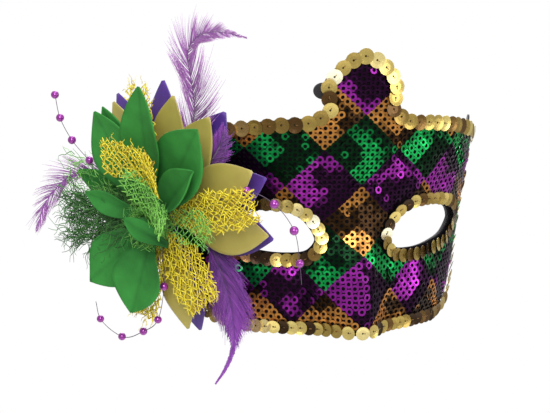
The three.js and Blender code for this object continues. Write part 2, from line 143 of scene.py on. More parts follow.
# Flower
FLOWER_ANGLE = math.radians(-61)
FLOWER_Z = 0.0
POST_RADIUS = 4.4
POST_HEIGHT = 28.0
PETAL_ROOT = 5.0
CAP_ROOT = -20.0  # start of the leaf across the post's end
PETAL_REACH = 65.0
PETAL_TIP = 0.5
PETAL_FOOT = 1.2
PETAL_FULLNESS = 1.35
NET_SPREAD = 0.45
NET_DRAW = 0.25
NET_DRAW_START = 0.8
NET_OVERHANG = 1.2  # half widths over which a net still cups
Layer = namedtuple("Layer", "height rise droop cup")
LAYERS = {
    # height at the axis, rise in degrees, droop at the reach, cup of a petal's edges
    "purple_low": Layer(2.6, 2.0, 5.0, 0.2),
    "purple_high": Layer(4.0, 2.5, 4.8, 0.2),
    "gold_low": Layer(7.3, 5.0, 4.5, 0.3),
    "gold_high": Layer(8.7, 6.0, 4.2, 0.4),
    "net_low": Layer(11.8, 8.5, 3.5, 0.6),
    "green_back": Layer(13.2, 10.5, 3.2, 0.9),
    "green_low": Layer(14.6, 13.0, 3.0, 1.2),
    "green_high": Layer(16.1, 16.0, 2.5, 2.5),
    "net_high": Layer(17.7, 26.0, 2.0, 3.0),
    "inner": Layer(20.6, 29.0, 1.0, 3.0),
    "cap": Layer(30.0, -8.0, 0.0, -0.8),
}
Petal = namedtuple("Petal", "layer turn length half")
PETALS = {
    # layer, direction in degrees from the front, length, half width
    "purple_petal": [
        Petal("purple_low", 125, 69, 10),
        Petal("purple_high", 94, 68, 10),
        Petal("purple_low", 59, 66, 11.5),
        Petal("purple_high", 25, 67, 11),
        Petal("purple_low", -2, 63, 11),
        Petal("purple_high", -75, 59, 10),
        Petal("purple_low", -137, 50, 11),
        Petal("purple_high", -178, 55, 11),
    ],
    "gold_petal": [
        Petal("gold_low", 121, 64, 9.5),
        Petal("gold_high", 80, 65, 10),
        Petal("gold_low", 60, 64, 11.5),
        Petal("gold_high", 29, 69, 11.5),
        Petal("gold_low", 2, 67, 11.5),
        Petal("gold_high", -74, 56, 10),
        Petal("gold_low", -127, 52, 10),
        Petal("gold_high", -153, 48, 10),
    ],
    "yellow_net_petal": [
        Petal("net_low", 95, 70, 6),
        Petal("net_low", 16, 71, 8),
        Petal("net_low", -47, 50, 12),
        Petal("net_low", -102, 53, 8),
        Petal("net_high", 80, 46, 16),
    ],
    "green_petal": [
        Petal("green_low", 118, 61, 14),
        Petal("green_back", 116, 62, 10),
        Petal("green_high", 82, 73, 11.5),
        Petal("green_low", 53, 68, 15),
        Petal("green_high", 41, 53, 9.5),
        Petal("green_high", 163, 39, 5),
        Petal("cap", 162, 9.5, 4.2),
        Petal("green_low", -138, 53, 13),
        Petal("green_high", -99, 46, 15),
        Petal("gold_low", 166, 63, 7),
    ],
    "green_net_petal": [
        Petal("inner", 49, 32, 15),
        Petal("net_low", -174, 62, 12),
        Petal("green_low", 7, 44, 7.5),
        Petal("gold_high", 164, 68, 9),
    ],
}
# Rise of the edge that a leaf curls up, negative for its other edge. The curl draws the edge in
LEAF_CURLS = {"green_petal_5": 7.0, "green_petal_7": -3.0}
FEATHERS = {
    # half width, fullness, sharpness, then the quill's points as a, b, h
    "feather_upper": (13, 0.8, 1.6, [
        (1.9, 5.2, 6), (5, 14, 7.2), (12, 33, 7.2), (21, 57, 7.2), (20, 70, 7.2), (18, 80, 7),
        (19, 87, 7.5), (25, 93, 8), (34, 97, 9), (48, 98, 10), (59, 97, 10),
    ]),
    "feather_lower": (14, 0.6, 3.5, [
        (5.3, -1.9, 6), (16, -3, 6.6), (26, -7, 6.6), (31, -17, 6.4), (36, -30, 5.5),
        (39, -45, 4.5), (38, -60, 3.5), (32, -73, 3), (24, -84, 3),
    ]),
    "feather_side": (8, 1.3, 1.2, [
        (-5.2, 1.9, 6), (-25, 10, 6.3), (-45, 15, 6.4), (-65, 13, 6.2), (-79, 4, 7),
        (-89, -8, 8.5), (-95, -23, 10),
    ]),
    "feather_fluff": (6.5, 1.3, 1.2, [
        (4.3, 3.6, 6), (20, 24, 6.1), (30, 34, 6.1), (37, 44, 6.1), (39, 52, 6.1),
    ]),
}
FEATHER_TIP = 0.5
BARBS = {
    # barbs on each side, angle to the quill in degrees, clumping, thickness against the common one,
    # gain of tone from the root to the end
    "feather_upper": (430, 36, 0.3, 1.0, 0.0),
    "feather_lower": (900, 34, 0.1, 1.5, 0.9),
    "feather_side": (230, 25, 0.45, 1.0, 0.0),
    "feather_fluff": (520, 38, 0.35, 1.1, 0.0),
}
BEAD_RADIUS = 2.1
THREAD_RADIUS = 0.22
SPRAYS = {
    # thread's points as a, b, h, then the places of the beads in that list
    "bead_spray_upper": ([
        (-4, 3.2, 10.9), (-20, 10.5, 13.2), (-34, 18, 14.8), (-45.4, 24.5, 15.5),
        (-56.9, 33.5, 16), (-62.6, 44.7, 18), (-63.2, 56.9, 20),
    ], [3, 4, 5, 6]),
    "bead_spray_eye": ([
        (4.9, 1.5, 10.9), (24, 9, 13), (43, 18, 14.2), (59.8, 24.8, 14.5),
        (74.6, 20.1, 12), (83, 7.6, 8), (83.4, -9.2, 5), (83.4, -20, 4),
    ], [3, 4, 5, 6]),
    "bead_spray_lower": ([
        (1.2, -5, 14.2), (5, -19, 17), (7.8, -31.1, 20), (3.5, -49, 21),
        (-12.2, -59.8, 16), (-32, -67.9, 12), (-46.3, -60.9, 13), (-49, -52, 13),
    ], [2, 3, 4, 5, 6]),
}

# Harlequin: diamonds of the sequin cloth, with rows of rings along both edges of a diamond
DIAMOND_HALF_WIDTH = 17.5
DIAMOND_HALF_HEIGHT = 17.5
DIAMOND_TOP = 73.3  # height of the first row's middle
DIAMOND_SHIFT = 2.0  # arc length of the first row's middle
RINGS_PER_EDGE = 8
TRIM_PAINTED_LIGHT = [
    # arc length, height, reach, gain of painted light: a painted glint where the gain is above 0, painted
    # shade where it is below
    (-52, -50, 24, 0.42),
    (-24, 6, 11, 0.4),
    (5, -50, 16, 0.12),
    (72, 43, 12, 0.2),
    (0, 84, 10, 0.18),
    (-4, 74, 9, 0.1),
    (16, 62, 14, -0.1),
    (-28, 52, 6, -0.5),
    (-46, 12, 8, -0.35),
    (48, -2, 24, -0.1),
    (70, -48, 26, -0.12),
    (-60, -14, 13, 0.22),
]
TRIM_PAINTED_REFLECTIONS = [
    # arc length, height, reach of the cups with a painted pink reflection
    (-60, -14, 15),
    (-66, 44, 11),
]

# View of the photograph
VIEW_AZIMUTH = math.radians(-21.9)
VIEW_ELEVATION = math.radians(10.7)
VIEW_ROLL = math.radians(2.4)
VIEW_DISTANCE = 1000.0
VIEW_LENS = 128.8
VIEW_SENSOR = 36.0
VIEW_TARGET = (0.0, 40.0, 15.0)
VIEW_ASIDE = (-26.3, -12.6)  # from the target to the middle of the picture, across and up


def linear(code):
    """Linear RGBA of an sRGB hex colour."""
    parts = [int(code[i:i + 2], 16) / 255 for i in (1, 3, 5)]
    return tuple(c / 12.92 if c <= 0.04045 else ((c + 0.055) / 1.055) ** 2.4 for c in parts) + (1.0,)


# The face, lines on it and the flower's own axes


def smoothstep(x, low, high):
    part = np.clip((np.asarray(x, float) - low) / (high - low), 0, 1)
    return part * part * (3 - 2 * part)


def bell(x, width):
    return np.exp(-(x / width) ** 2)


def nose_rise(z):
    return NOSE_HEIGHT * smoothstep(-np.asarray(z, float), -NOSE_TOP, -NOSE_BOTTOM)


def face_points(s, z):
    """Points of the inside of the shell."""
    s = np.asarray(s, float)
    z = np.asarray(z, float)
    angle = s / REFERENCE_RADIUS
    radius = FACE_RADIUS + FACE_TAPER * z - FACE_BULGE * z * z
    rise = nose_rise(z)
    width = BRIDGE_WIDTH + (NOSE_WIDTH - BRIDGE_WIDTH) * rise / NOSE_HEIGHT
    x = radius * np.sin(angle)
    front = -BROW_FORWARD * smoothstep(np.abs(z), 0, BROW_REACH)
    socket = bell(np.abs(s) - SOCKET["s"], SOCKET["wide"]) * bell(z - SOCKET["z"], SOCKET["high"])
    y = front + radius * (1 - np.cos(angle)) - rise * bell(x, width) + nose_rise(0) + SOCKET_DEPTH * socket
    return np.stack([x, y, z], axis=-1)


def face_normals(s, z):
    step = 0.01
    across = face_points(s + step, z) - face_points(s - step, z)
    up = face_points(s, z + step) - face_points(s, z - step)
    return unit(np.cross(across, up))


def face_ways(s, z, ways):
    """Unit directions on the face of ways that are given in arc length and height."""
    step = 0.1
    return unit(face_points(s + step * ways[..., 0], z + step * ways[..., 1]) - face_points(s, z))


def unit(vectors):
    return vectors / np.linalg.norm(vectors, axis=-1, keepdims=True)


def on_face(s, z, out):
    s = np.asarray(s, float)
    z = np.asarray(z, float)
    return face_points(s, z) + face_normals(s, z) * np.asarray(out, float)[..., None]


def smooth_line(points, closed=False, fine=24):
    """Dense points of a centripetal Catmull-Rom line through the given points."""
    points = np.asarray(points, float)
    if closed:
        ring = np.vstack([points[-1:], points, points[:2]])
    else:
        ring = np.vstack([2 * points[0] - points[1], points, 2 * points[-1] - points[-2]])
    stretches = []
    for p0, p1, p2, p3 in zip(ring, ring[1:], ring[2:], ring[3:]):
        t1 = np.linalg.norm(p1 - p0) ** 0.5
        t2 = t1 + np.linalg.norm(p2 - p1) ** 0.5
        t3 = t2 + np.linalg.norm(p3 - p2) ** 0.5
        t = np.linspace(t1, t2, fine, endpoint=False)[:, None]
        a1 = p0 + (p1 - p0) * t / t1
        a2 = p1 + (p2 - p1) * (t - t1) / (t2 - t1)
        a3 = p2 + (p3 - p2) * (t - t2) / (t3 - t2)
        b1 = a1 + (a2 - a1) * t / t2
        b2 = a2 + (a3 - a2) * (t - t1) / (t3 - t1)
        stretches.append(b1 + (b2 - b1) * (t - t1) / (t2 - t1))
    stretches.append(points[:1] if closed else points[-1:])
    return np.vstack(stretches)


def line_length(line):
    return np.linalg.norm(np.diff(line, axis=0), axis=1).sum()


def along_line(line, parts):
    """Points and unit tangents at parts, from 0 to 1, of a line's length."""
    reach = np.concatenate([[0], np.cumsum(np.linalg.norm(np.diff(line, axis=0), axis=1))])
    reach /= reach[-1]
    tangents = np.gradient(line, axis=0)
    places = np.stack([np.interp(parts, reach, column) for column in line.T], axis=-1)
    ways = np.stack([np.interp(parts, reach, column) for column in tangents.T], axis=-1)
    return places, unit(ways)


def top_edge(s):
    return TOP_CENTRE - TOP_DROP * (np.asarray(s, float) / HALF_ARC) ** 2


def bottom_edge(s):
    past = np.maximum(0, np.abs(np.asarray(s, float)) - CORNER_START) / (HALF_ARC - CORNER_START)
    return BOTTOM_CENTRE + CORNER_RISE * past ** CORNER_POWER


def mirrored(half):
    """A line's half from the temple to the nose line, and its mirror image before it."""
    half = np.asarray(half, float)
    return np.vstack([half * (-1, 1), half[-2::-1]])


def top_trim_line():
    edge = [(s, top_edge(s) - TRIM_INSET) for s in TOP_TRIM_STATIONS]
    crest = [(half - TRIM_INSET, z) for z, half in CREST[:-2]]
    return smooth_line(mirrored(edge + crest + [(0, CREST[-1][0] - TRIM_INSET)]))


def bottom_trim_line():
    temple = [(HALF_ARC - TRIM_INSET, z) for z in TEMPLE_TRIM_HEIGHTS]
    edge = [(s, bottom_edge(s) + TRIM_INSET) for s in BOTTOM_TRIM_STATIONS]
    return smooth_line(mirrored(temple + edge))


def eye_line(side):
    points = [(side * s, z) for s, z in EYE_PATH]
    return smooth_line(points if side > 0 else points[::-1], closed=True)


def eye_holes():
    """Edges of both eye holes, inside the middle lines of their trim."""
    parts = np.linspace(0, 1, EYE_HOLE_POINTS, endpoint=False)
    lines = [along_line(eye_line(side), parts) for side in (-1, 1)]
    return [places + EYE_INSET * ways[:, ::-1] * (1, -1) for places, ways in lines]


def mask_outline(inset=0.0):
    """The mask's edge from the lower nose line round the wearer's left side, as arc lengths and heights."""
    temple = HALF_ARC - inset
    lower = [(s, bottom_edge(s) + inset) for s in np.linspace(0, temple, LOWER_POINTS)]
    stations = np.linspace(temple, CREST_FOOT + CREST_RUN_IN, UPPER_POINTS)
    upper = [(s, top_edge(s) - inset) for s in stations]
    crest = [(half - inset, z) for z, half in CREST[:-1]]
    rounded = smooth_line([upper[-1]] + crest + [(0, CREST[-1][0] - inset)], fine=CREST_POINTS)[1:]
    right = np.vstack([lower, upper, rounded])
    return np.vstack([right, right[-2:0:-1] * (-1, 1)])


def inside(points, loop):
    """Which points lie inside a closed loop, by counting crossings."""
    x, y = points[:, 0, None], points[:, 1, None]
    x0, y0 = loop[:, 0], loop[:, 1]
    x1, y1 = np.roll(x0, -1), np.roll(y0, -1)
    spans = (y0 > y) != (y1 > y)
    rise = np.where(y1 == y0, 1.0, y1 - y0)
    return ((spans & (x < x0 + (x1 - x0) * (y - y0) / rise)).sum(axis=1) % 2).astype(bool)


def gap_to(points, line):
    """Distance of each point to the nearest point of a dense line."""
    return np.linalg.norm(points[:, None] - line[None], axis=2).min(axis=1)


FLOWER_ARC = np.array(FLOWER_ANGLE * REFERENCE_RADIUS)
FLOWER_OUT = face_normals(FLOWER_ARC, np.array(FLOWER_Z))
FLOWER_UP = unit(np.array([0.0, 0.0, 1.0]) - FLOWER_OUT * FLOWER_OUT[2])
FLOWER_FRONT = np.cross(FLOWER_UP, FLOWER_OUT)
FLOWER_MIDDLE = on_face(FLOWER_ARC, FLOWER_Z, FLOWER_SEAT)


def in_flower(points):
    """Places of points that are given in the flower's own a, b and h."""
    points = np.asarray(points, float)
    return FLOWER_MIDDLE + points @ np.stack([FLOWER_FRONT, FLOWER_UP, FLOWER_OUT])


def layer_height(layer, radius):
    row = LAYERS[layer]
    return row.height + math.tan(math.radians(row.rise)) * radius - row.droop * (radius / PETAL_REACH) ** 3


def petal_half(half, part):
    return PETAL_TIP + PETAL_FOOT * (1 - part) + half * np.sin(np.pi * part ** PETAL_FULLNESS)


def net_half(half, part):
    """Half width of a net, which widens from its root to a blunt end."""
    drawn = 1 - NET_DRAW * smoothstep(part, NET_DRAW_START, 1)
    return PETAL_FOOT + half * smoothstep(part, 0, NET_SPREAD) * drawn


def feather_half(half, fullness, sharpness, part):
    swell = np.maximum(0, np.sin(np.pi * np.minimum(1, part ** fullness)))
    return FEATHER_TIP + half * swell ** sharpness


def petal_root(petal):
    return CAP_ROOT if petal.layer == "cap" else PETAL_ROOT


def over_layer(petal, along, across, lift):
    """Points by millimetres along a petal's middle line from the axis, across it and above its layer."""
    turn = math.radians(petal.turn)
    a = along * math.cos(turn) - across * math.sin(turn)
    b = along * math.sin(turn) + across * math.cos(turn)
    return in_flower(np.stack([a, b, layer_height(petal.layer, np.hypot(a, b)) + lift], axis=-1))


def cupped(petal, part, side):
    """Rise of a petal's edges, at parts of its length and half width."""
    return LAYERS[petal.layer].cup * side ** 2 * np.sin(np.pi * part)


def petal_points(petal, part, side, lift):
    """Points of a petal at parts of its length and half width, lifted by millimetres."""
    root = petal_root(petal)
    along = root + (petal.length - root) * part
    return over_layer(petal, along, side * petal_half(petal.half, part), cupped(petal, part, side) + lift)


def net_points(petal, along, across, lift):
    """Points of a net by millimetres along it from its root, across it and above its layer."""
    part = np.clip(along / (petal.length - PETAL_ROOT), 0, 1)
    side = np.clip(across / net_half(petal.half, part), -NET_OVERHANG, NET_OVERHANG)
    return over_layer(petal, PETAL_ROOT + along, across, cupped(petal, part, side) + lift)


# Meshes

TUBE_SIDES = 4  # four, so that a tube's caps are quads like its walls
STEEP = 0.9  # cosine to the flower's axis above which a tube takes its sides from another direction


def linked(name, data):
    obj = bpy.data.objects.new(name, data)
    bpy.context.scene.collection.objects.link(obj)
    return obj


def dress(obj, material, slot, *nodes):
    """Gives a piece its finish and its place in the frame, where it stands for the named solids."""
    obj.data.materials.append(material)
    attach(obj, BODY)
    if nodes:
        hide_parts(*nodes)


def mesh_object(name, points, faces, smooth=True):
    mesh = bpy.data.meshes.new(name)
    mesh.from_pydata((np.asarray(points) * MM).tolist(), [], faces.tolist())
    mesh.polygons.foreach_set("use_smooth", [smooth] * len(mesh.polygons))
    mesh.update()
    return linked(name, mesh)


def from_bmesh(name, bm):
    mesh = bpy.data.meshes.new(name)
    bm.to_mesh(mesh)
    bm.free()
    return linked(name, mesh)


def mark(obj, name, values):
    """Stores one number for each point of a piece's mesh."""
    attribute = obj.data.attributes.new(name, "FLOAT", "POINT")
    attribute.data.foreach_set("value", np.asarray(values, np.float32))


def arrays_of(bm):
    """Points and faces of a bmesh, which is then freed. Its faces all have the same number of corners."""
    bm.verts.index_update()
    points = np.array([v.co for v in bm.verts])
    faces = np.array([[v.index for v in face.verts] for face in bm.faces])
    bm.free()
    return points, faces


def turned(profile, steps):
    """Points and quads of a closed profile of radius and height that is spun round its axis."""
    bm = bmesh.new()
    verts = [bm.verts.new((radius, 0, height)) for radius, height in profile]
    edges = [bm.edges.new(pair) for pair in zip(verts, verts[1:] + verts[:1])]
    bmesh.ops.spin(bm, geom=verts + edges, cent=(0, 0, 0), axis=(0, 0, 1), angle=2 * math.pi,
                   steps=steps, use_merge=True, use_duplicate=False)
    bmesh.ops.remove_doubles(bm, verts=bm.verts, dist=1e-5)
    bmesh.ops.recalc_face_normals(bm, faces=bm.faces)
    return arrays_of(bm)


def stamped(shape, places, axes):
    """Points and faces of copies of a shape, each at its place and along its own three axes."""
    points, faces = shape
    copies = np.einsum("vj,njk->nvk", points, axes) + places[:, None]
    steps = np.arange(len(places))[:, None, None] * len(points)
    return copies.reshape(-1, 3), (faces[None] + steps).reshape(-1, faces.shape[1])


def tubes(lines, radii):
    """Points and quads of closed tubes along lines of equal point counts, with a radius at every point."""
    count, steps = lines.shape[:2]
    radii = np.broadcast_to(np.asarray(radii, float), (count, steps))
    ways = unit(np.gradient(lines, axis=1) + 1e-9)
    steep = np.abs(ways @ FLOWER_OUT)[..., None] >= STEEP
    across = unit(np.cross(ways, np.where(steep, FLOWER_UP, FLOWER_OUT)))
    over = np.cross(across, ways)
    here = np.arange(TUBE_SIDES)
    turn = 2 * np.pi * here / TUBE_SIDES
    ring = across[:, :, None] * np.cos(turn)[:, None] + over[:, :, None] * np.sin(turn)[:, None]
    points = lines[:, :, None] + ring * radii[:, :, None, None]
    first = (np.arange(count) * steps * TUBE_SIDES)[:, None, None]
    row = first + (np.arange(steps - 1) * TUBE_SIDES)[None, :, None]
    after = (here + 1) % TUBE_SIDES
    walls = np.stack([row + here, row + TUBE_SIDES + here, row + TUBE_SIDES + after, row + after], axis=-1)
    caps = first + np.stack([here, here[::-1] + (steps - 1) * TUBE_SIDES])
    return points.reshape(-1, 3), np.vstack([walls.reshape(-1, 4), caps.reshape(-1, 4)])


def per_tube(values, lines):
    """One value of each tube, repeated for all its points."""
    return np.repeat(values, lines.shape[1] * TUBE_SIDES)


def joined(parts):
    """Points and faces of several meshes as one."""
    points, faces, start = [], [], 0
    for some_points, some_faces in parts:
        points.append(some_points)
        faces.append(some_faces + start)
        start += len(some_points)
    return np.vstack(points), np.vstack(faces)


# Nodes of the finishes

UV_SPAN = 100.0  # millimetres of a petal to one unit of its UV map


def add_node(tree, kind, inputs=None, **settings):
    """Adds a node with its settings. An input is given as a value, or as the socket that feeds it."""
    made = tree.nodes.new(kind)
    for name, value in settings.items():
        setattr(made, name, value)
    for name, value in (inputs or {}).items():
        if isinstance(value, bpy.types.NodeSocket):
            tree.links.new(value, made.inputs[name])
        else:
            made.inputs[name].default_value = value
    return made


def finish_with(name, shader_inputs, tree_maker):
    """A material with one principled shader. The maker adds the nodes that feed it."""
    material = bpy.data.materials.new(name)
    material.use_nodes = True
    tree = material.node_tree
    tree.nodes.clear()
    shader = add_node(tree, "ShaderNodeBsdfPrincipled", {**shader_inputs, **tree_maker(tree)})
    add_node(tree, "ShaderNodeOutputMaterial", {"Surface": shader.outputs["BSDF"]})
    return material


def per_mm(size):
    """Texture scale on object coordinates, in metres, for a feature of that many millimetres."""
    return 1 / (size * MM)


def per_uv(size):
    """Texture scale on a petal's UV map for a feature of that many millimetres."""
    return UV_SPAN / size


def shaded(colour, share):
    """A colour with its light scaled by a share."""
    return tuple(min(1.0, c * share) for c in colour[:3]) + (1.0,)


def object_place(tree):
    return add_node(tree, "ShaderNodeTexCoord").outputs["Object"]


def petal_place(tree):
    return add_node(tree, "ShaderNodeUVMap", uv_map="petal").outputs["UV"]


def stored(tree, name):
    """The number that a mesh stores at each point under that name."""
    return add_node(tree, "ShaderNodeAttribute", attribute_name=name).outputs["Fac"]


def clouds(tree, place, scale, detail=2.0):
    inputs = {"Vector": place, "Scale": scale, "Detail": detail}
    return add_node(tree, "ShaderNodeTexNoise", inputs).outputs["Fac"]


def ranged(tree, value, low, high, full=1.0):
    """Turns a value from 0 to the full one into a value from low to high."""
    inputs = {"Value": value, "From Max": full, "To Min": low, "To Max": high}
    return add_node(tree, "ShaderNodeMapRange", inputs).outputs[0]


def scaled(tree, value, factor, added, clamp=False):
    inputs = {0: value, 1: factor, 2: added}
    return add_node(tree, "ShaderNodeMath", inputs, operation="MULTIPLY_ADD", use_clamp=clamp).outputs[0]


def relief(tree, height, strength, depth):
    """Normal of a surface raised by a pattern, with its depth in millimetres."""
    inputs = {"Height": height, "Strength": strength, "Distance": depth * MM}
    return add_node(tree, "ShaderNodeBump", inputs).outputs[0]


def two_tones(tree, factor, low, high, blend="MIX"):
    inputs = {"Factor": factor, 6: low, 7: high}
    return add_node(tree, "ShaderNodeMix", inputs, data_type="RGBA", blend_type=blend).outputs[2]


def mottled(colour, size, share):
    """Maker of a colour with softly darker clouds of that many millimetres."""
    def mottle(tree):
        cloud = clouds(tree, object_place(tree), per_mm(size))
        return {"Base Color": two_tones(tree, cloud, shaded(colour, share), colour)}
    return mottle


def toned_strands(shade, colour):
    """Maker of a colour that follows the tone stored on each strand."""
    def strands(tree):
        return {"Base Color": two_tones(tree, stored(tree, "tone"), shade, colour)}
    return strands


# Finishes


def felt(colour):
    """Needled felt: dull and fibrous, with no shine, so only its soft pile shows."""
    def fibres(tree):
        pile = clouds(tree, object_place(tree), per_mm(0.9), detail=4.0)
        return {
            "Base Color": two_tones(tree, pile, shaded(colour, 0.45), colour),
            "Normal": relief(tree, pile, strength=0.5, depth=0.3),
        }
    shader = {"Roughness": 0.95, "Sheen Weight": 0.25, "Sheen Roughness": 0.6}
    return finish_with("Black needled felt", shader, fibres)


def sequin_net(colour):
    """Fine knitted nylon net: near black, with a faint thread pattern between the sequins."""
    def knit(tree):
        inputs = {"Vector": object_place(tree), "Scale": per_mm(1.1)}
        cells = add_node(tree, "ShaderNodeTexVoronoi", inputs, feature="DISTANCE_TO_EDGE")
        edge = ranged(tree, cells.outputs["Distance"], low=1.0, high=0.0, full=0.25)
        return {"Base Color": two_tones(tree, edge, colour, shaded(colour, 1.6))}
    return finish_with("Black nylon net", {"Roughness": 0.85, "Specular IOR Level": 0.08}, knit)


def sequin_foil(name, colour):
    """Metallised film: a tinted mirror whose base colour goes from near black to its full colour by the
    painted light stored on each piece, a painted shade and painted glint.
    """
    def lustre(tree):
        scuffs = clouds(tree, object_place(tree), per_mm(2.5), detail=3.0)
        return {
            "Base Color": two_tones(tree, stored(tree, "lustre"), shaded(colour, 0.025), colour),
            "Roughness": ranged(tree, scuffs, low=0.18, high=0.45),
        }
    return finish_with(name, {"Metallic": 0.9}, lustre)


def cup_foil(colour):
    """Metallised gold film: its base colour follows the painted light stored on each cup, from a brown black
    painted shade through olive gold to a pale cream painted highlight.
    """
    def lustre(tree):
        # Painted light: the stored value picks the base colour, from a brown black painted shade to a pale
        # cream painted highlight
        ramp = add_node(tree, "ShaderNodeValToRGB", {"Fac": stored(tree, "lustre")})
        stops = ramp.color_ramp.elements
        stops[0].color = linear("#1d150c")
        stops[1].color = linear("#fff8d6")
        brown, bronze, cream = linear("#4a3216"), linear("#6e5226"), linear("#e2cd7c")
        for level, shade in [(0.1, brown), (0.2, bronze), (0.36, colour), (0.74, cream)]:
            stops.new(level).color = shade
        # Painted reflection: a pink tint multiplied into the base colour of the marked cups
        painted_pink = linear("#d98f8c")
        scuffs = clouds(tree, object_place(tree), per_mm(2.0), detail=3.0)
        return {
            "Base Color": two_tones(tree, stored(tree, "blush"), ramp.outputs["Color"], painted_pink, "MULTIPLY"),
            "Roughness": ranged(tree, scuffs, low=0.16, high=0.4),
        }
    return finish_with("Gold foil cup sequin", {"Metallic": 0.75}, lustre)


def satin(name, colour, shade):
    """Stiffened satin: fine threads along the petal, a soft sheen across them, random clouds of tone and a
    painted shade that darkens it towards the root.
    """
    def threads(tree):
        place = petal_place(tree)
        stretch = add_node(tree, "ShaderNodeMapping", {"Vector": place, "Scale": (1.0, 0.06, 1.0)})
        weave = clouds(tree, stretch.outputs[0], per_uv(0.7))
        cloud = scaled(tree, clouds(tree, place, per_uv(14)), factor=0.55, added=-0.05)
        # Painted shade towards the root, over random clouds of tone
        tone = scaled(tree, stored(tree, "part"), factor=0.55, added=cloud, clamp=True)
        return {
            "Base Color": two_tones(tree, tone, shade, colour),
            "Normal": relief(tree, weave, strength=0.35, depth=0.15),
        }
    shader = {"Roughness": 0.45, "Sheen Weight": 0.3, "Sheen Roughness": 0.4, "Specular IOR Level": 0.4}
    return finish_with(name, shader, threads)


def leaf_cloth(colour, shade):
    """Starched polyester leaf cloth: matte and softly mottled, with a painted shade at its root and along its
    crease.
    """
    def mottle(tree):
        place = petal_place(tree)
        # Painted shade: darker towards the root
        painted_root_shade = ranged(tree, stored(tree, "part"), low=-0.3, high=0.25, full=0.7)
        across = add_node(tree, "ShaderNodeSeparateXYZ", {"Vector": place}).outputs[0]
        aside = add_node(tree, "ShaderNodeMath", {0: across}, operation="ABSOLUTE").outputs[0]
        # Painted shade along the middle crease
        crease = ranged(tree, aside, low=-0.14, high=0.0, full=2 / UV_SPAN)
        cloud = scaled(tree, clouds(tree, place, per_uv(13), detail=3.0), factor=0.75, added=painted_root_shade)
        tone = scaled(tree, cloud, factor=1.0, added=crease, clamp=True)
        grain = clouds(tree, place, per_uv(0.7))
        return {
            "Base Color": two_tones(tree, tone, shade, colour),
            "Normal": relief(tree, grain, strength=0.25, depth=0.2),
        }
    return finish_with("Green leaf cloth", {"Roughness": 0.75, "Specular IOR Level": 0.2}, mottle)


def yarn(name, colour, shade, roughness=0.5):
    """Plastic yarn, thread or tape: each strand has its own tone, with a dull gloss along it."""
    shader = {"Roughness": roughness, "Specular IOR Level": 0.5}
    return finish_with(name, shader, toned_strands(shade, colour))


def plume(name, colour, shade):
    """Dyed feather: soft barbs with a faint sheen, paler to their ends and darker along the quill."""
    shader = {"Roughness": 0.65, "Sheen Weight": 0.4, "Sheen Roughness": 0.4}
    return finish_with(name, shader, toned_strands(shade, colour))


def pearl_bead(colour):
    """Pearl-coated plastic bead: a clear gloss over a deep metallic tint."""
    shader = {"Metallic": 0.45, "Roughness": 0.22, "Coat Weight": 0.6, "Coat Roughness": 0.08}
    return finish_with("Purple pearl bead", shader, mottled(colour, size=1.6, share=0.55))


def studio_paper(colour):
    """Seamless paper: flat white with a very faint tooth."""
    return finish_with("White studio paper", {"Roughness": 0.9}, mottled(colour, size=3.0, share=0.97))


# Sizes and colours that a user would change


def length_of(name, description, millimetres):
    return FloatProperty(name=name, description=description, default=millimetres * MM, min=0, unit="LENGTH",
                         subtype="DISTANCE", precision=4)


def colour_of(name, description, code):
    return FloatVectorProperty(name=name, description=description, default=linear(code), size=4, min=0, max=1,
                               subtype="COLOR")


class MaskSizes(bpy.types.PropertyGroup):
    """Sizes of the small pieces"""

    ring_width: length_of("Ring width", "Across one ring sequin of the cloth", 4.0)
    ring_hole: length_of("Ring hole", "Across the hole of a ring sequin", 1.95)
    cup_width: length_of("Cup width", "Across one cup sequin of the trim", 7.5)
    cup_pitch: length_of("Cup pitch", "From one cup sequin to the next", 5.2)
    cup_depth: length_of("Cup depth", "How far a cup's rim stands up", 0.3)
    petal_wall: length_of("Petal wall", "Thickness of the petals' cloth", 0.6)
    net_cell: length_of("Net cell", "Across one cell of the net petals", 3.1)
    net_strand: length_of("Net strand", "Radius of a strand of the net", 0.28)
    barb: length_of("Barb", "Radius of a feather's barb at its root", 0.16)


class MaskColours(bpy.types.PropertyGroup):
    """Colours of the finishes"""

    felt: colour_of("Felt", "Backing of the mask", "#1c191f")
    net: colour_of("Net", "Ground of the sequin cloth", "#070508")
    purple_ring: colour_of("Purple ring", "Purple sequins", "#9c2ba2")
    copper_ring: colour_of("Copper ring", "Copper gold sequins", "#c58742")
    green_ring: colour_of("Green ring", "Green sequins", "#16a04e")
    gold_cup: colour_of("Gold cup", "Sequins of the trim", "#a48c46")
    purple_satin: colour_of("Purple satin", "Lower petals", "#52308f")
    gold_satin: colour_of("Gold satin", "Middle petals", "#b3a552")
    leaf: colour_of("Leaf", "Upper petals", "#3c943f")
    yellow_yarn: colour_of("Yellow yarn", "Yellow net", "#f6e53a")
    lime_yarn: colour_of("Lime yarn", "Net over the flower's middle", "#92dc60")
    green_yarn: colour_of("Green yarn", "Frayed net behind the leaves", "#48853a")
    mauve_plume: colour_of("Mauve plume", "Upper and side feathers", "#bd7cc6")
    purple_plume: colour_of("Purple plume", "Lower feather and fluff", "#9645b4")
    bead: colour_of("Bead", "Beads of the sprays", "#a233a6")
    thread: colour_of("Thread", "Threads of the sprays", "#5b4660")
    paper: colour_of("Paper", "Floor", "#f3f2ef")


# Pieces

NOISE_SLICES = 7.31  # distance between the slices of noise that give different patterns


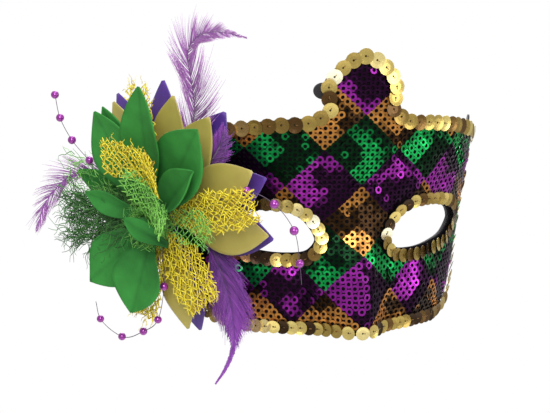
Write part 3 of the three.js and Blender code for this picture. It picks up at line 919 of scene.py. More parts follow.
def face_sheet(name, outline, holes, out, spacing):
    """A sheet on the face with a smooth edge and smooth holes, out from the inside of the shell."""
    def covered(points):
        return inside(points, outline) & ~np.any([inside(points, hole) for hole in holes], axis=0)

    ends = zip(outline.min(axis=0), outline.max(axis=0))
    columns, rows = (np.arange(low, high, spacing) for low, high in ends)
    grid = np.stack(np.meshgrid(columns, rows), axis=-1).reshape(-1, 2)
    loops = [outline] + holes
    clear = np.min([gap_to(grid, loop) for loop in loops], axis=0) > spacing / 2
    spots = np.vstack(loops + [grid[covered(grid) & clear]])
    edges = []
    start = 0
    for loop in loops:
        edges += [(start + i, start + (i + 1) % len(loop)) for i in range(len(loop))]
        start += len(loop)
    all_triangles, tolerance = 0, 1e-4
    spots = [Vector(spot) for spot in spots]
    corners, _, faces, *_ = geometry.delaunay_2d_cdt(spots, edges, [], all_triangles, tolerance)
    corners = np.array(corners)
    faces = np.array(faces)
    kept = covered(corners[faces].mean(axis=1))
    return mesh_object(name, on_face(*corners.T, out), faces[kept])


def wall(obj, thickness, offset):
    """Gives a sheet its thickness: offset -1 grows it inwards, 1 outwards and 0 both ways."""
    solidify = obj.modifiers.new("Wall", "SOLIDIFY")
    solidify.thickness = thickness
    solidify.offset = offset


def hash_noise(points, size, cut):
    """Smooth noise, about -1 to 1, over points in millimetres. The cut picks the slice of noise."""
    return np.array([noise.noise(Vector((x / size, y / size, cut * NOISE_SLICES))) for x, y in points])


def leaned(normal, way, lean, roll):
    """Three axes at each place: the normal leans along the way and rolls across it, in radians."""
    aside = np.cross(normal, way)
    up = unit(normal - way * np.tan(lean)[:, None] + aside * np.tan(roll)[:, None])
    along = unit(way - up * (way * up).sum(axis=1, keepdims=True))
    return np.stack([along, np.cross(up, along), up], axis=1)


class MASK_OT_stage(bpy.types.Operator):
    """Sets up the floor, the light and the camera at the photograph's angle"""

    bl_idname = "mask.stage"
    bl_label = "Stage"

    # Lengths of the stage are in metres
    FLOOR_RADIUS = 1.3
    FLOOR_DROP = 0.6  # from the lowest point of the solids
    FLOOR_SIDES = 96
    LIT_SPOT = (-0.02, 0.03, 0.01)
    SOFTBOXES = [
        # name, place, side, watts
        ("key", (-0.55, -1.1, 0.75), 0.7, 17),
        ("fill", (0.95, -0.95, 0.25), 0.8, 9),
        ("top", (0.0, 0.1, 1.4), 1.0, 11),
        ("back", (0.3, 1.3, 0.7), 0.9, 9),
    ]
    ROOM_STRENGTH = 0.55
    BACKDROP_STRENGTH = 1.0

    def execute(self, context):
        self.floor(context.scene.mask_colours.paper[:])
        self.lamps()
        self.room(context.scene)
        self.camera(context.scene)
        context.scene.view_settings.view_transform = "Standard"
        return {"FINISHED"}

    def floor(self, colour):
        bm = bmesh.new()
        height = Matrix.Translation((0, 0, CAD_BOX[0].z - self.FLOOR_DROP))
        bmesh.ops.create_circle(bm, cap_ends=True, segments=self.FLOOR_SIDES, radius=self.FLOOR_RADIUS,
                                matrix=height)
        floor = from_bmesh("floor", bm)
        floor.data.materials.append(studio_paper(colour))

    def lamps(self):
        for name, place, side, watts in self.SOFTBOXES:
            data = bpy.data.lights.new(name, "AREA")
            data.size = side
            data.energy = watts
            lamp = linked(name, data)
            lamp.location = place
            aim = Vector(self.LIT_SPOT) - Vector(place)
            lamp.rotation_euler = aim.to_track_quat("-Z", "Y").to_euler()

    def room(self, scene):
        world = bpy.data.worlds.new("Studio")
        scene.world = world
        world.use_nodes = True
        tree = world.node_tree
        tree.nodes.clear()
        white = linear("#ffffff")
        seen = add_node(tree, "ShaderNodeLightPath").outputs["Is Camera Ray"]
        room, backdrop = (
            add_node(tree, "ShaderNodeBackground", {"Color": white, "Strength": strength}).outputs[0]
            for strength in (self.ROOM_STRENGTH, self.BACKDROP_STRENGTH)
        )
        both = add_node(tree, "ShaderNodeMixShader", {0: seen, 1: room, 2: backdrop})
        add_node(tree, "ShaderNodeOutputWorld", {"Surface": both.outputs[0]})

    def camera(self, scene):
        back = Vector((
            math.sin(VIEW_AZIMUTH) * math.cos(VIEW_ELEVATION),
            -math.cos(VIEW_AZIMUTH) * math.cos(VIEW_ELEVATION),
            math.sin(VIEW_ELEVATION),
        ))
        target = Vector(VIEW_TARGET)
        eye = target + back * VIEW_DISTANCE
        right = Vector((0, 0, 1)).cross(back).normalized()
        up = back.cross(right)
        right, up = (right * math.cos(VIEW_ROLL) + up * math.sin(VIEW_ROLL),
                     up * math.cos(VIEW_ROLL) - right * math.sin(VIEW_ROLL))
        aim = target + right * VIEW_ASIDE[0] + up * VIEW_ASIDE[1]
        back = (eye - aim).normalized()
        right = up.cross(back).normalized()
        up = back.cross(right)
        data = bpy.data.cameras.new("camera")
        data.lens = VIEW_LENS
        data.sensor_width = VIEW_SENSOR
        camera = linked("camera", data)
        camera.matrix_world = Matrix((right, up, back)).transposed().to_4x4()
        camera.location = eye * MM
        scene.camera = camera


class MASK_OT_lining(bpy.types.Operator):
    """Makes the felt backing with its two eye holes, and the two felt tabs at its edge"""

    bl_idname = "mask.lining"
    bl_label = "Felt backing"

    TABS = [
        # arc length, height
        (99.0, 41.0),
        (-17.2, 67.5),
    ]
    TAB_RADIUS = 4.0
    TAB_SIDES = 28
    TAB_RISE = 0.5  # from the front of the backing to the front of a tab
    TAB_WALL = 0.9

    def execute(self, context):
        lining = face_sheet("felt_backing", mask_outline(), eye_holes(), LINING_OUT, SHEET_SPACING)
        wall(lining, LINING_OUT * MM, -1)
        black = felt(context.scene.mask_colours.felt[:])
        dress(lining, black, "backing_felt", "mask_shell")
        turn = np.linspace(0, 2 * np.pi, self.TAB_SIDES, endpoint=False)
        circle = self.TAB_RADIUS * np.stack([np.cos(turn), np.sin(turn)], axis=1)
        out = LINING_OUT + self.TAB_RISE
        for i, spot in enumerate(self.TABS):
            tab = face_sheet(f"felt_tab_{i + 1}", circle + spot, [], out, SHEET_SPACING / 2)
            wall(tab, self.TAB_WALL * MM, -1)
            dress(tab, black, "backing_felt")
        return {"FINISHED"}


class MASK_OT_sequin_cloth(bpy.types.Operator):
    """Makes the black net and its harlequin of ring sequins"""

    bl_idname = "mask.sequin_cloth"
    bl_label = "Sequin cloth"

    GROUND_INSET = 0.6  # from the mask's edge
    GROUND_WALL = 0.5
    KINDS = [
        # piece, material, colour, slice of the noise of the painted light patches, its level where the
        # painted light turns bright
        ("sequins_purple", "Purple foil sequin", "purple_ring", 5, 0.12),
        ("sequins_copper", "Copper foil sequin", "copper_ring", 15, -0.1),
        ("sequins_green", "Green foil sequin", "green_ring", 13, 0.0),
    ]
    LATTICE_REACH = 80  # rings each way from the first row's middle, before those off the cloth are left out
    PULL = 0.9  # how far the pull of the cloth moves a ring
    PULL_SIZE = 26
    PULL_CUTS = (1, 2)
    EDGE_GAP = 2.6
    EYE_GAP = 2.9  # to the middle line of the eye's trim
    FILM = 0.16
    SIDES = 11
    LEAN = 0.12  # radians
    SWAY = 0.34  # slow change of lean and roll over the cloth
    SWAY_SIZE = 15
    SWAY_CUTS = (3, 4)
    JITTER = 0.07  # change of lean and roll from ring to ring
    LEAN_LIMIT = 0.6
    ROLL_LIMIT = 0.5
    LOOSE_SHARE = 0.04
    LOOSE_LEAN = 0.35
    LOOSE_PAINTED_GLINT = 0.5  # of painted light: a loose ring gets a painted glint
    STACKING = 0.25  # spread of the rings' heights
    LEAN_LIFT = 0.5  # rise of a ring for each radian that it leans
    # Painted light of the rings: patches of noise make stretches of rings bright or near black in their base
    # colour, a painted glint and painted shade
    PATCH_SIZE = 17
    PATCH_EDGE = 0.14  # rise of the noise over which the painted light goes from dull to bright
    PATCH_JITTER = 0.03
    PAINTED_LIGHT_GRAIN = 0.16
    PAINTED_LIGHT_GRAIN_SIZE = 5
    PAINTED_LIGHT_GRAIN_CUT = 8
    PAINTED_DULL = 0.025
    PAINTED_BRIGHT = 0.87
    PAINTED_BRIGHT_SPREAD = (0.75, 1.15)

    def execute(self, context):
        outline = mask_outline(self.GROUND_INSET)
        self.ground(outline, sequin_net(context.scene.mask_colours.net[:]))
        spots, rows = self.lattice(outline)
        ring = self.ring(context.scene.mask_sizes)
        for kind, (name, finish, colour, cut, level) in enumerate(self.KINDS):
            foil = sequin_foil(finish, getattr(context.scene.mask_colours, colour)[:])
            own = spots[rows % len(self.KINDS) == kind]
            self.rings(name, ring, own, foil, np.random.default_rng(kind), cut, level)
        return {"FINISHED"}

    def ground(self, outline, finish):
        holes = eye_holes()
        ground = face_sheet("sequin_ground", outline, holes, CLOTH_OUT, SHEET_SPACING)
        wall(ground, self.GROUND_WALL * MM, 0)
        dress(ground, finish, "sequin_cloth", "sequin_cloth")

    def lattice(self, outline):
        """Places of the rings, and the row of the harlequin that each belongs to."""
        reach = np.arange(-self.LATTICE_REACH, self.LATTICE_REACH) + 0.5
        u, v = (grid.ravel() * 2 / RINGS_PER_EDGE for grid in np.meshgrid(reach, reach))
        spots = np.stack([DIAMOND_SHIFT + DIAMOND_HALF_WIDTH * (u + v) / 2,
                          DIAMOND_TOP + DIAMOND_HALF_HEIGHT * (u - v) / 2], axis=1)
        rows = (np.floor((v + 1) / 2) - np.floor((u + 1) / 2)).astype(int)
        near = inside(spots, outline)
        spots, rows = spots[near], rows[near]
        pull = [hash_noise(spots, self.PULL_SIZE, cut) for cut in self.PULL_CUTS]
        spots += self.PULL * np.stack(pull, axis=1)
        clear = gap_to(spots, outline) > self.EDGE_GAP
        for line in (eye_line(-1), eye_line(1)):
            clear &= ~inside(spots, line) & (gap_to(spots, line) > self.EYE_GAP)
        return spots[clear], rows[clear]

    def ring(self, sizes):
        outer, inner = sizes.ring_width / MM / 2, sizes.ring_hole / MM / 2
        return turned([(inner, 0), (outer, 0), (outer, self.FILM), (inner, self.FILM)], self.SIDES)

    def rings(self, name, ring, spots, finish, rng, cut, level):
        count = len(spots)
        s, z = spots.T
        way = unit(np.array([DIAMOND_HALF_WIDTH, DIAMOND_HALF_HEIGHT]))
        sway, tilt = (self.SWAY * hash_noise(spots, self.SWAY_SIZE, own) for own in self.SWAY_CUTS)
        lean = self.LEAN + sway + rng.normal(0, self.JITTER, count)
        roll = np.clip(tilt + rng.normal(0, self.JITTER, count), -self.ROLL_LIMIT, self.ROLL_LIMIT)
        loose = rng.random(count) < self.LOOSE_SHARE
        lean += loose * rng.normal(0, self.LOOSE_LEAN, count)
        lean = np.clip(lean, -self.LEAN_LIMIT, self.LEAN_LIMIT)
        out = RING_OUT + rng.uniform(0, self.STACKING, count) + self.LEAN_LIFT * np.abs(lean)
        axes = leaned(face_normals(s, z), face_ways(s, z, way), lean, roll)
        obj = mesh_object(name, *stamped(ring, on_face(s, z, out), axes), smooth=False)
        # Painted light: bright painted glints and near black painted shade in patches over the cloth
        patch = hash_noise(spots, self.PATCH_SIZE, cut) + rng.normal(0, self.PATCH_JITTER, count)
        patch += self.PAINTED_LIGHT_GRAIN * hash_noise(spots, self.PAINTED_LIGHT_GRAIN_SIZE, self.PAINTED_LIGHT_GRAIN_CUT)
        painted_lit = smoothstep(patch, level, level + self.PATCH_EDGE)
        lustre = self.PAINTED_DULL + self.PAINTED_BRIGHT * painted_lit * rng.uniform(*self.PAINTED_BRIGHT_SPREAD, count)
        lustre += self.LOOSE_PAINTED_GLINT * loose
        mark(obj, "lustre", np.repeat(np.clip(lustre, 0, 1), len(ring[0])))
        dress(obj, finish, "sequin_cloth")


class MASK_OT_trim(bpy.types.Operator):
    """Makes the strings of gold cup sequins round the edge and the eye holes"""

    bl_idname = "mask.trim"
    bl_label = "Gold trim"

    SEED = 10
    HOLE = 0.5  # radius of a cup's hole
    KNEE = 0.55  # part of the radius where a cup turns up
    KNEE_RISE = 0.15  # part of the depth that it has reached there
    FILM = 0.14
    SIDES = 16
    LEAN = 0.17  # radians
    LEAN_JITTER = 0.06
    ROLL_JITTER = 0.09
    STACKING = 0.2  # spread of the cups' heights
    # Painted light of the cups: base level, slow patches, spread, limits, and shares of single cups with a
    # painted dark shade or a painted glint
    LUSTRE = 0.42
    PATCHES = 0.25  # slow change of the painted light along a string
    PATCH_SIZE = 16
    PATCH_CUT = 20  # slice of the noise for the first string
    PAINTED_LIGHT_JITTER = 0.13
    PAINTED_LIGHT_LIMITS = (0.12, 0.95)
    PAINTED_DARK_SHARE = 0.07
    DARK = 0.04
    PAINTED_GLINT_SHARE = 0.05
    STITCH = np.array([
        # from the cup's hole along the string, and out from the film
        (0.0, 0.15),
        (0.5, 0.35),
        (1.0, 0.4),
        (1.5, 0.3),
    ])
    STITCH_RADIUS = 0.14

    def execute(self, context):
        sizes = context.scene.mask_sizes
        gold = cup_foil(context.scene.mask_colours.gold_cup[:])
        thread = yarn("Stitching thread", linear("#9a6c34"), linear("#5a3c1c"))
        points, faces = self.cup(sizes)
        strings = {
            # middle line, size of its cups against the common size
            "top_trim": (top_trim_line(), 1.08),
            "bottom_trim": (bottom_trim_line(), 0.92),
            "eye_trim_right": (eye_line(-1), 0.92),
            "eye_trim_left": (eye_line(1), 0.92),
        }
        for number, (node, (line, size)) in enumerate(strings.items()):
            self.string(node, line, (points * size, faces), sizes.cup_pitch / MM * size, gold, thread, number)
        return {"FINISHED"}

    def cup(self, sizes):
        outer, depth = sizes.cup_width / MM / 2, sizes.cup_depth / MM
        lower = [(self.HOLE, 0), (outer * self.KNEE, depth * self.KNEE_RISE), (outer, depth)]
        upper = [(radius, height + self.FILM) for radius, height in lower]
        return turned(upper + lower[::-1], self.SIDES)

    def string(self, node, line, cup, pitch, gold, thread, number):
        rng = np.random.default_rng(self.SEED + number)
        count = round(line_length(line) / pitch)
        spots, ways = along_line(line, (np.arange(count) + 0.5) / count)
        s, z = spots.T
        lean = self.LEAN + rng.normal(0, self.LEAN_JITTER, count)
        roll = rng.normal(0, self.ROLL_JITTER, count)
        axes = leaned(face_normals(s, z), face_ways(s, z, ways), lean, roll)
        places = on_face(s, z, TRIM_OUT + rng.uniform(0, self.STACKING, count))
        obj = mesh_object(node + "_sequins", *stamped(cup, places, axes), smooth=False)
        # Painted light of each cup, stored for the gold foil's base colour
        mark(obj, "lustre", np.repeat(self.lustre(spots, rng, self.PATCH_CUT + number), len(cup[0])))
        # Painted reflection: cups near the listed spots get a pink tint in their base colour
        blush = sum(bell(np.hypot(s - at_s, z - at_z), reach) for at_s, at_z, reach in TRIM_PAINTED_REFLECTIONS)
        mark(obj, "blush", np.repeat(blush, len(cup[0])))
        dress(obj, gold, "gold_sequins", node)
        reach, lift = self.STITCH.T[:, :, None]
        stitches = places[:, None] + axes[:, None, 0] * reach + axes[:, None, 2] * lift
        stitch = mesh_object(node + "_stitches", *tubes(stitches, self.STITCH_RADIUS))
        mark(stitch, "tone", per_tube(rng.random(count), stitches))
        dress(stitch, thread, "gold_sequins")

    def lustre(self, spots, rng, cut):
        """Painted light of each cup: slow patches, the painted glints and painted shade of the listed spots,
        and a few single cups with a painted glint or a painted dark shade.
        """
        lustre = self.LUSTRE + self.PATCHES * hash_noise(spots, self.PATCH_SIZE, cut)
        lustre += rng.normal(0, self.PAINTED_LIGHT_JITTER, len(spots))
        for at_s, at_z, reach, gain in TRIM_PAINTED_LIGHT:
            lustre += gain * bell(np.hypot(*(spots - (at_s, at_z)).T), reach)
        lustre = np.clip(lustre, *self.PAINTED_LIGHT_LIMITS)
        chance = rng.random(len(spots))
        lustre[chance > 1 - self.PAINTED_GLINT_SHARE] = 1.0
        lustre[chance < self.PAINTED_DARK_SHARE] = self.DARK
        return lustre


class MASK_OT_petals(bpy.types.Operator):
    """Makes the satin petals and the leaf cloth petals of the flower"""

    bl_idname = "mask.petals"
    bl_label = "Cloth petals"

    ROWS = 28
    COLUMNS = 14
    FOLDS = {
        # depth of the middle crease, height of the edge's ripple
        "purple_petal": (0.25, 0.35),
        "gold_petal": (0.25, 0.35),
        "green_petal": (0.7, 0.5),
    }
    CREASE_WIDTH = 0.16  # part of the half width
    SLACK_HALF = 10.0  # half width below which a petal folds less
    PHASE = (0, 6.28)
    TWIST = (-0.6, 0.6)
    WAVES = (1.5, 2.6)  # ripples along an edge
    EDGE_PHASE = 2.0  # shift of the ripple from one edge to the other
    BUCKLE = 0.3
    BUCKLE_ACROSS = 3.0
    BUCKLE_ALONG = 5.0
    OPENING = 0.7  # how soon the folds fade towards both ends
    DRAW_LIMIT = 0.9
    CUT_STATIONS = 101

    def execute(self, context):
        colours = context.scene.mask_colours
        purple = satin("Purple satin", colours.purple_satin[:], linear("#2e1a5c"))
        gold = satin("Olive gold satin", colours.gold_satin[:], linear("#83762f"))
        green = leaf_cloth(colours.leaf[:], linear("#16481b"))
        finishes = {
            "purple_petal": ("purple_satin", purple),
            "gold_petal": ("gold_satin", gold),
            "green_petal": ("green_cloth", green),
        }
        for kind, (slot, finish) in finishes.items():
            for i, petal in enumerate(PETALS[kind]):
                node = f"{kind}_{i + 1}"
                curl = LEAF_CURLS.get(node, 0)
                obj = self.petal(node + "_cloth", petal, random.Random(f"{kind}{i}"), self.FOLDS[kind], curl)
                wall(obj, context.scene.mask_sizes.petal_wall, 0)
                dress(obj, finish, slot, node)
        return {"FINISHED"}

    def petal(self, name, petal, rng, folds, curl):
        """One petal, with a creased middle line, rippled edges and a small curl."""
        crease, ripple = folds
        phase = rng.uniform(*self.PHASE)
        twist = rng.uniform(*self.TWIST)
        waves = rng.uniform(*self.WAVES)
        bm = bmesh.new()
        uv = bm.loops.layers.uv.new("petal")
        bmesh.ops.create_grid(bm, x_segments=self.COLUMNS, y_segments=self.ROWS, size=1)
        side, part = np.array([v.co[:2] for v in bm.verts]).T
        part = (part + 1) / 2
        half = petal_half(petal.half, part)
        open_out = np.sin(np.pi * np.clip(part, 0, 1)) ** self.OPENING
        lift = -crease * bell(side, self.CREASE_WIDTH) * open_out
        ripples = 2 * np.pi * waves * part + phase + self.EDGE_PHASE * np.sign(side)
        buckles = self.BUCKLE_ACROSS * side + self.BUCKLE_ALONG * part + phase
        lift += ripple * side ** 2 * np.sin(ripples) + twist * side * part
        lift += self.BUCKLE * np.sin(buckles) * open_out
        lift *= min(1, petal.half / self.SLACK_HALF)
        rise = abs(curl) * np.maximum(0, np.sign(curl) * side) ** 2 * open_out
        drawn = np.sqrt(1 - np.minimum(rise / (np.abs(side) * half + 1e-6), self.DRAW_LIMIT) ** 2)
        points = petal_points(petal, part, -side * drawn, lift + rise) * MM
        for vert, point in zip(bm.verts, points):
            vert.co = point
        spread = np.stack([side * half, part * petal.length], axis=1) / UV_SPAN
        for face in bm.faces:
            for loop in face.loops:
                loop[uv].uv = spread[loop.vert.index]
            face.smooth = True
        obj = from_bmesh(name, bm)
        mark(obj, "part", part)
        return obj


class MASK_OT_nets(bpy.types.Operator):
    """Makes the net petals from crossing strands, with frayed ends, and the net collar round the stem"""

    bl_idname = "mask.nets"
    bl_label = "Net petals"

    KINDS = {
        # slot, first seed, strands' thickness against the common one
        "yellow_net_petal": ("yellow_net", 40, 1.0),
        "green_net_petal": ("green_net", 50, 0.85),
    }
    DARK_NET = "green_net_petal_2"
    FRAYED = {"green_net_petal_2": 1000, "green_net_petal_4": 130}  # threads of the undone nets
    LIFTS = {"green_net_petal_3": (0.0,), "yellow_net_petal_4": (-0.5, 0.0, 0.5)}  # layers of strands
    COMMON_LIFTS = (-0.4, 0.5)
    STARTS = {"yellow_net_petal_5": 0.42}  # part of the length where a net comes out from under another
    COMMON_START = 0.02
    ROW_PITCH = 0.75  # against the cell
    SPARE_COLUMNS = 4
    SHIFT = (-1, 1)  # of all the knots of a layer to one side
    KNOT_JITTER = 0.22  # against the cell
    KNOT_LIFT = 0.3
    STRAND_SPREAD = (0.75, 1.15)
    STRAND_TONE = 0.6
    PAINTED_LIGHT_PER_LIFT = 0.5  # painted shade: gain of tone for each millimetre of lift, so the lower layers of strands are darker
    TONE_JITTER = 0.2
    LOOSE_THREADS = 60
    # Where threads start along a net, how much more of them near its root, their reach, lift and thickness
    LOOSE = {"span": (0.7, 1.0), "gather": 1.0, "reach": (2, 7), "lift": (-0.5, 1.0), "thickness": 0.8}
    UNDONE = {"span": (0.15, 0.9), "gather": 1.5, "reach": (6, 18), "lift": (-0.5, 5.0), "thickness": 1.15}
    THREAD_POINTS = 7
    THREAD_TAPER = 0.4
    HEADING = 0.45  # spread of the threads' headings, in radians
    BEND = 1.1
    WIGGLE = 0.5
    WIGGLE_TURN = 9.0  # radians along a thread
    WIGGLE_PHASE = (0, 6)
    CLIMB = 0.2
    COLLAR_SEED = 60
    COLLAR_ENDS = 420
    COLLAR_POINTS = 6
    COLLAR_REACH = (4, 10)
    COLLAR_CLIMB = (0.0, 0.9)  # radians
    COLLAR_START = 13.0  # lowest height
    COLLAR_THICKNESS = 0.8
    COLLAR_TAPER = 0.5
    COLLAR_BEND = 0.9
    COLLAR_GAP = 0.2
    COLLAR_DROP = 3.0  # from the stem's end to the highest start
    COLLAR_TOP = 29.0
    COLLAR_TONE = 0.8

    def execute(self, context):
        colours = context.scene.mask_colours
        cell = context.scene.mask_sizes.net_cell / MM
        strand = context.scene.mask_sizes.net_strand / MM
        yellow = yarn("Yellow net yarn", colours.yellow_yarn[:], linear("#a8860e"), roughness=0.4)
        lime = yarn("Lime net yarn", colours.lime_yarn[:], linear("#2c7424"), roughness=0.45)
        green = yarn("Dark green net yarn", colours.green_yarn[:], linear("#173d18"))
        finishes = {"yellow_net_petal": yellow, "green_net_petal": lime}
        for kind, (slot, seed, thickness) in self.KINDS.items():
            for i, petal in enumerate(PETALS[kind]):
                node = f"{kind}_{i + 1}"
                finish = green if node == self.DARK_NET else finishes[kind]
                self.net(node, petal, cell, strand * thickness, finish, slot, np.random.default_rng(seed + i))
        self.collar(lime, strand * self.COLLAR_THICKNESS)
        return {"FINISHED"}

    def collar(self, finish, strand):
        """Loose net ends round the stem."""
        rng = np.random.default_rng(self.COLLAR_SEED)
        each = (self.COLLAR_ENDS, 1)
        steps = np.linspace(0, 1, self.COLLAR_POINTS)
        reach = rng.uniform(*self.COLLAR_REACH, each)
        climb = rng.uniform(*self.COLLAR_CLIMB, each)
        turn = rng.uniform(0, 2 * np.pi, each) + rng.normal(0, self.COLLAR_BEND, each) * steps
        out = POST_RADIUS + self.COLLAR_GAP + reach * np.cos(climb) * steps
        start = rng.uniform(self.COLLAR_START, POST_HEIGHT - self.COLLAR_DROP, each)
        height = np.minimum(start + reach * np.sin(climb) * steps, self.COLLAR_TOP)
        lines = in_flower(np.stack([out * np.cos(turn), out * np.sin(turn), height], axis=-1))
        radii = strand * np.linspace(1, self.COLLAR_TAPER, len(steps))
        obj = mesh_object("green_net_collar", *tubes(lines, radii))
        mark(obj, "tone", per_tube(rng.uniform(0, self.COLLAR_TONE, len(lines)), lines))
        dress(obj, finish, "green_net")

    def net(self, node, petal, cell, strand, finish, slot, rng):
        frayed = self.FRAYED.get(node)
        lifts = () if frayed else self.LIFTS.get(node, self.COMMON_LIFTS)
        parts, tones = [], []
        for lift in lifts:
            lines = self.cells(petal, cell, rng, lift, self.STARTS.get(node, self.COMMON_START))
            parts.append(tubes(lines, strand * rng.uniform(*self.STRAND_SPREAD, (len(lines), 1))))
            # Painted shade: strands of the lower layers are darker, with a random tone on each strand
            tone = self.STRAND_TONE + self.PAINTED_LIGHT_PER_LIFT * lift + rng.normal(0, self.TONE_JITTER, len(lines))
            tones.append(per_tube(np.clip(tone, 0, 1), lines))
        kind = self.UNDONE if frayed else self.LOOSE
        loose = self.threads(petal, rng, frayed or self.LOOSE_THREADS, kind)
        radii = strand * kind["thickness"] * np.linspace(1, self.THREAD_TAPER, self.THREAD_POINTS)
        parts.append(tubes(loose, radii))
        tones.append(per_tube(rng.random(len(loose)), loose))
        obj = mesh_object(node + "_strands", *joined(parts))
        mark(obj, "tone", np.concatenate(tones))
        dress(obj, finish, slot, node)

    def cells(self, petal, cell, rng, lift, start):
        """Straight strands between the knots of a slack diamond net."""
        length = petal.length - PETAL_ROOT
        pitch = cell * self.ROW_PITCH
        rows = int(length / pitch) + 1
        columns = int(2 * petal.half / cell) + self.SPARE_COLUMNS
        row_numbers = np.arange(rows)[:, None]
        along = row_numbers * pitch + np.zeros(columns)
        across = (np.arange(columns) - columns / 2 + 0.5 * (row_numbers % 2)) * cell
        along = along + rng.normal(0, cell * self.KNOT_JITTER, along.shape)
        across = across + rng.normal(0, cell * self.KNOT_JITTER, across.shape) + rng.uniform(*self.SHIFT)
        knots = np.stack([along, across, lift + rng.normal(0, self.KNOT_LIFT, along.shape)], axis=-1)
        ends = []
        for row in range(rows - 1):
            for column in range(columns):
                right = column + (1 if row % 2 else -1)
                ends.append((knots[row, column], knots[row + 1, column]))
                if 0 <= right < columns:
                    ends.append((knots[row, column], knots[row + 1, right]))
        ends = np.array(ends)
        part = ends[..., 0] / length
        within = np.abs(ends[..., 1]) < net_half(petal.half, np.clip(part, 0, 1))
        ends = ends[within.any(axis=1) & (part[:, 0] > start)]
        return net_points(petal, *np.moveaxis(ends, -1, 0))

    def threads(self, petal, rng, count, kind):
        """Loose threads: past the blunt end of a net, or all over one that has come undone."""
        first, last = kind["span"]
        part = first + (last - first) * rng.random(count) ** kind["gather"]
        reach = rng.uniform(*kind["reach"], count)[:, None]
        steps = np.linspace(0, 1, self.THREAD_POINTS)
        each = (count, 1)
        heading = rng.normal(0, self.HEADING, each) + rng.normal(0, self.BEND, each) * steps
        wiggle = self.WIGGLE_TURN * steps + rng.uniform(*self.WIGGLE_PHASE, each)
        heading = heading + self.WIGGLE * np.sin(wiggle)
        stride = reach / (self.THREAD_POINTS - 1)
        along = (part * (petal.length - PETAL_ROOT))[:, None] - stride
        along = along + np.cumsum(np.cos(heading) * stride, axis=1)
        across = (rng.uniform(-1, 1, count) * net_half(petal.half, part))[:, None]
        across = across + np.cumsum(np.sin(heading) * stride, axis=1)
        rise = rng.normal(0, self.CLIMB, each) * reach * steps
        return net_points(petal, along, across, rng.uniform(*kind["lift"], each) + rise)


class MASK_OT_feathers(bpy.types.Operator):
    """Makes the feathers, each a quill with its barbs"""

    bl_idname = "mask.feathers"
    bl_label = "Feathers"

    SEED = 70
    MAUVE = ("feather_upper", "feather_side")
    QUILL_POINTS = 60
    QUILL_RADII = (0.5, 0.12)
    QUILL_TONE = 0.05
    BARB_POINTS = 6
    BARB_TAPER = 0.3
    BARB_SPAN = (0.12, 0.995)  # parts of the quill that carry barbs
    BARB_REACH = (0.7, 1.12)  # against the feather's half width
    SHORTEST = 0.4  # reach of a barb at the feather's end
    DOWN = 5.0  # reach that is added at the root
    SLOPE = (1.15, 0.85)  # angle to the quill from the root to the end, against the common one
    CURVE = (1.15, 0.7)  # the same along a barb
    LEAST_ANGLE = 0.2
    JITTER = 0.05
    CLUMPS = 26  # along a quill
    CLUMP_SIDES = 3.1  # distance in the noise between both sides
    CLUMP_SAG = 0.35
    SAG_POWER = 1.5
    TONES = (0.3, 0.85)  # from a barb's root to its end
    TONE_JITTER = 0.15
    CLUMP_TONE = 0.4

    def execute(self, context):
        colours = context.scene.mask_colours
        mauve = plume("Mauve dyed feather", colours.mauve_plume[:], linear("#6d2c80"))
        purple = plume("Purple dyed feather", colours.purple_plume[:], linear("#3f1a63"))
        for number, node in enumerate(FEATHERS, 1):
            finish = mauve if node in self.MAUVE else purple
            self.feather(node, finish, context.scene.mask_sizes.barb / MM, number)
        return {"FINISHED"}

    def feather(self, node, finish, barb, number):
        rng = np.random.default_rng(self.SEED + number)
        half, fullness, sharpness, path = FEATHERS[node]
        count, spread, clumping, thickness, paling = BARBS[node]
        line = smooth_line(path)
        quill = in_flower(along_line(line, np.linspace(0, 1, self.QUILL_POINTS))[0])[None]
        parts = [tubes(quill, np.linspace(*self.QUILL_RADII, self.QUILL_POINTS))]
        tones = [per_tube([self.QUILL_TONE], quill)]
        steps = np.linspace(0, 1, self.BARB_POINTS)
        curve = np.linspace(*self.CURVE, self.BARB_POINTS)
        radii = thickness * barb * np.linspace(1, self.BARB_TAPER, self.BARB_POINTS)
        for side in (-1, 1):
            part = np.sort(rng.uniform(*self.BARB_SPAN, count))
            roots, ways = along_line(line, part)
            spots = [Vector((p * self.CLUMPS, side * self.CLUMP_SIDES, number)) for p in part]
            clump = np.array([noise.noise(spot) for spot in spots])
            slope = self.SLOPE[0] + (self.SLOPE[1] - self.SLOPE[0]) * part
            angle = np.radians(spread) * slope + clumping * clump + rng.normal(0, self.JITTER, count)
            angle = np.maximum(angle, self.LEAST_ANGLE)
            width = feather_half(half, fullness, sharpness, part)
            width = np.maximum(width, self.SHORTEST + self.DOWN * (1 - part))
            reach = (width / np.sin(angle) * rng.uniform(*self.BARB_REACH, count))[:, None]
            turn = (angle[:, None] * curve)[..., None]
            aside = side * np.stack([-ways[:, 1], ways[:, 0]], axis=1)
            moves = ways[:, None, :2] * np.cos(turn) + aside[:, None] * np.sin(turn)
            moves *= reach[..., None] / (self.BARB_POINTS - 1)
            flat = roots[:, None, :2] + np.cumsum(moves, axis=1) - moves[:, :1]
            sag = rng.normal(0, self.JITTER, count) + self.CLUMP_SAG * clumping * clump
            height = roots[:, None, 2] + sag[:, None] * reach * steps ** self.SAG_POWER
            parts.append(tubes(in_flower(np.concatenate([flat, height[..., None]], axis=-1)), radii))
            own = rng.normal(0, self.TONE_JITTER, count) + self.CLUMP_TONE * clump + paling * (part - 0.5)
            tone = np.linspace(*self.TONES, self.BARB_POINTS) + own[:, None]
            tones.append(np.repeat(np.clip(tone, 0, 1).ravel(), TUBE_SIDES))
        obj = mesh_object(node + "_barbs", *joined(parts))
        mark(obj, "tone", np.concatenate(tones))
        dress(obj, finish, "feather", node)


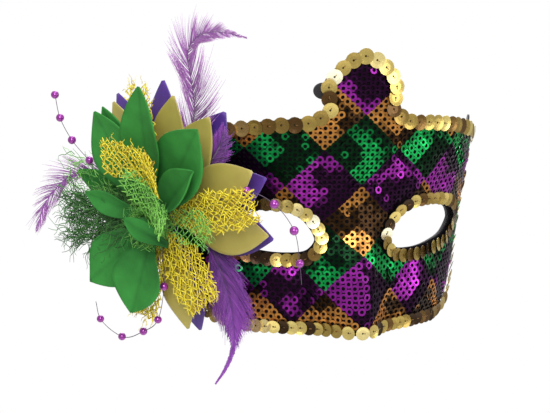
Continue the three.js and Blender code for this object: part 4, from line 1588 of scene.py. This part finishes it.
class MASK_OT_beads(bpy.types.Operator):
    """Makes the bead sprays: pearl beads on fine thread"""

    bl_idname = "mask.beads"
    bl_label = "Bead sprays"

    SEED = 90
    SEGMENTS = 24
    RINGS = 16
    SIZE_SPREAD = (0.92, 1.06)
    THREAD_POINTS = 90
    THREAD_TONE = 0.6

    def execute(self, context):
        colours = context.scene.mask_colours
        pearl = pearl_bead(colours.bead[:])
        thread = yarn("Spray thread", colours.thread[:], linear("#2c2230"))
        bm = bmesh.new()
        bmesh.ops.create_uvsphere(bm, u_segments=self.SEGMENTS, v_segments=self.RINGS, radius=BEAD_RADIUS)
        bmesh.ops.triangulate(bm, faces=bm.faces)
        ball = arrays_of(bm)
        for number, (node, (points, beads)) in enumerate(SPRAYS.items()):
            rng = np.random.default_rng(self.SEED + number)
            axes = np.eye(3)[None] * rng.uniform(*self.SIZE_SPREAD, len(beads))[:, None, None]
            obj = mesh_object(node + "_beads", *stamped(ball, in_flower(points)[beads], axes))
            dress(obj, pearl, "beads", node)
            line, _ = along_line(smooth_line(points), np.linspace(0, 1, self.THREAD_POINTS))
            line = in_flower(line)[None]
            string = mesh_object(node + "_thread", *tubes(line, THREAD_RADIUS))
            mark(string, "tone", per_tube([self.THREAD_TONE], line))
            dress(string, thread, "beads")
        return {"FINISHED"}


class MASK_OT_heart(bpy.types.Operator):
    """Makes the wound stem in the middle of the flower"""

    bl_idname = "mask.heart"
    bl_label = "Flower stem"

    TURNS = 18  # of the tape
    STEPS_PER_TURN = 4
    TAPE_INSET = 0.35
    TAPE_RELIEF = 0.3
    SHOULDER = 1.5  # height of the rounded end
    ROUNDING = (0.6, 0.4)  # a step of the rounded end: part of the radius, and drop from the top
    AXIS = 0.02  # radius that stands for the axis
    SIDES = 32
    TONE = 0.25

    def execute(self, context):
        heights = np.linspace(0, POST_HEIGHT - self.SHOULDER, self.TURNS * self.STEPS_PER_TURN + 1)
        wound = np.abs(np.sin(np.pi * heights / heights[-1] * self.TURNS))
        radii = POST_RADIUS - self.TAPE_INSET + self.TAPE_RELIEF * wound
        rounded = (POST_RADIUS * self.ROUNDING[0], POST_HEIGHT - self.ROUNDING[1])
        profile = [(self.AXIS, 0), *zip(radii, heights), rounded, (self.AXIS, POST_HEIGHT)]
        points, faces = turned(profile, self.SIDES)
        stem = mesh_object("flower_stem", in_flower(points), faces)
        mark(stem, "tone", np.full(len(points), self.TONE))
        colour = context.scene.mask_colours.leaf[:]
        tape = yarn("Green stem tape", colour, linear("#1c4a20"), roughness=0.7)
        dress(stem, tape, "post", "flower_post")
        return {"FINISHED"}


class MASK_PT_panel(bpy.types.Panel):
    """Lists the mask's sizes, colours and steps"""

    bl_idname = "MASK_PT_panel"
    bl_label = "Sequin mask"
    bl_space_type = "VIEW_3D"
    bl_region_type = "UI"
    bl_category = "Mask"

    def draw(self, context):
        for group in (context.scene.mask_sizes, context.scene.mask_colours):
            for name in group.__annotations__:
                self.layout.prop(group, name)
        for step in STEPS:
            self.layout.operator(step.bl_idname)


STEPS = (MASK_OT_stage, MASK_OT_lining, MASK_OT_sequin_cloth, MASK_OT_trim, MASK_OT_petals, MASK_OT_nets,
         MASK_OT_feathers, MASK_OT_beads, MASK_OT_heart)
CLASSES = (MaskSizes, MaskColours, *STEPS, MASK_PT_panel)


def register():
    for cls in CLASSES:
        bpy.utils.register_class(cls)
    bpy.types.Scene.mask_sizes = PointerProperty(type=MaskSizes)
    bpy.types.Scene.mask_colours = PointerProperty(type=MaskColours)


def unregister():
    del bpy.types.Scene.mask_colours
    del bpy.types.Scene.mask_sizes
    for cls in reversed(CLASSES):
        bpy.utils.unregister_class(cls)


def main():
    register()
    for step in STEPS:
        group, name = step.bl_idname.split(".")
        getattr(getattr(bpy.ops, group), name)()


if __name__ == "__main__":
    main()
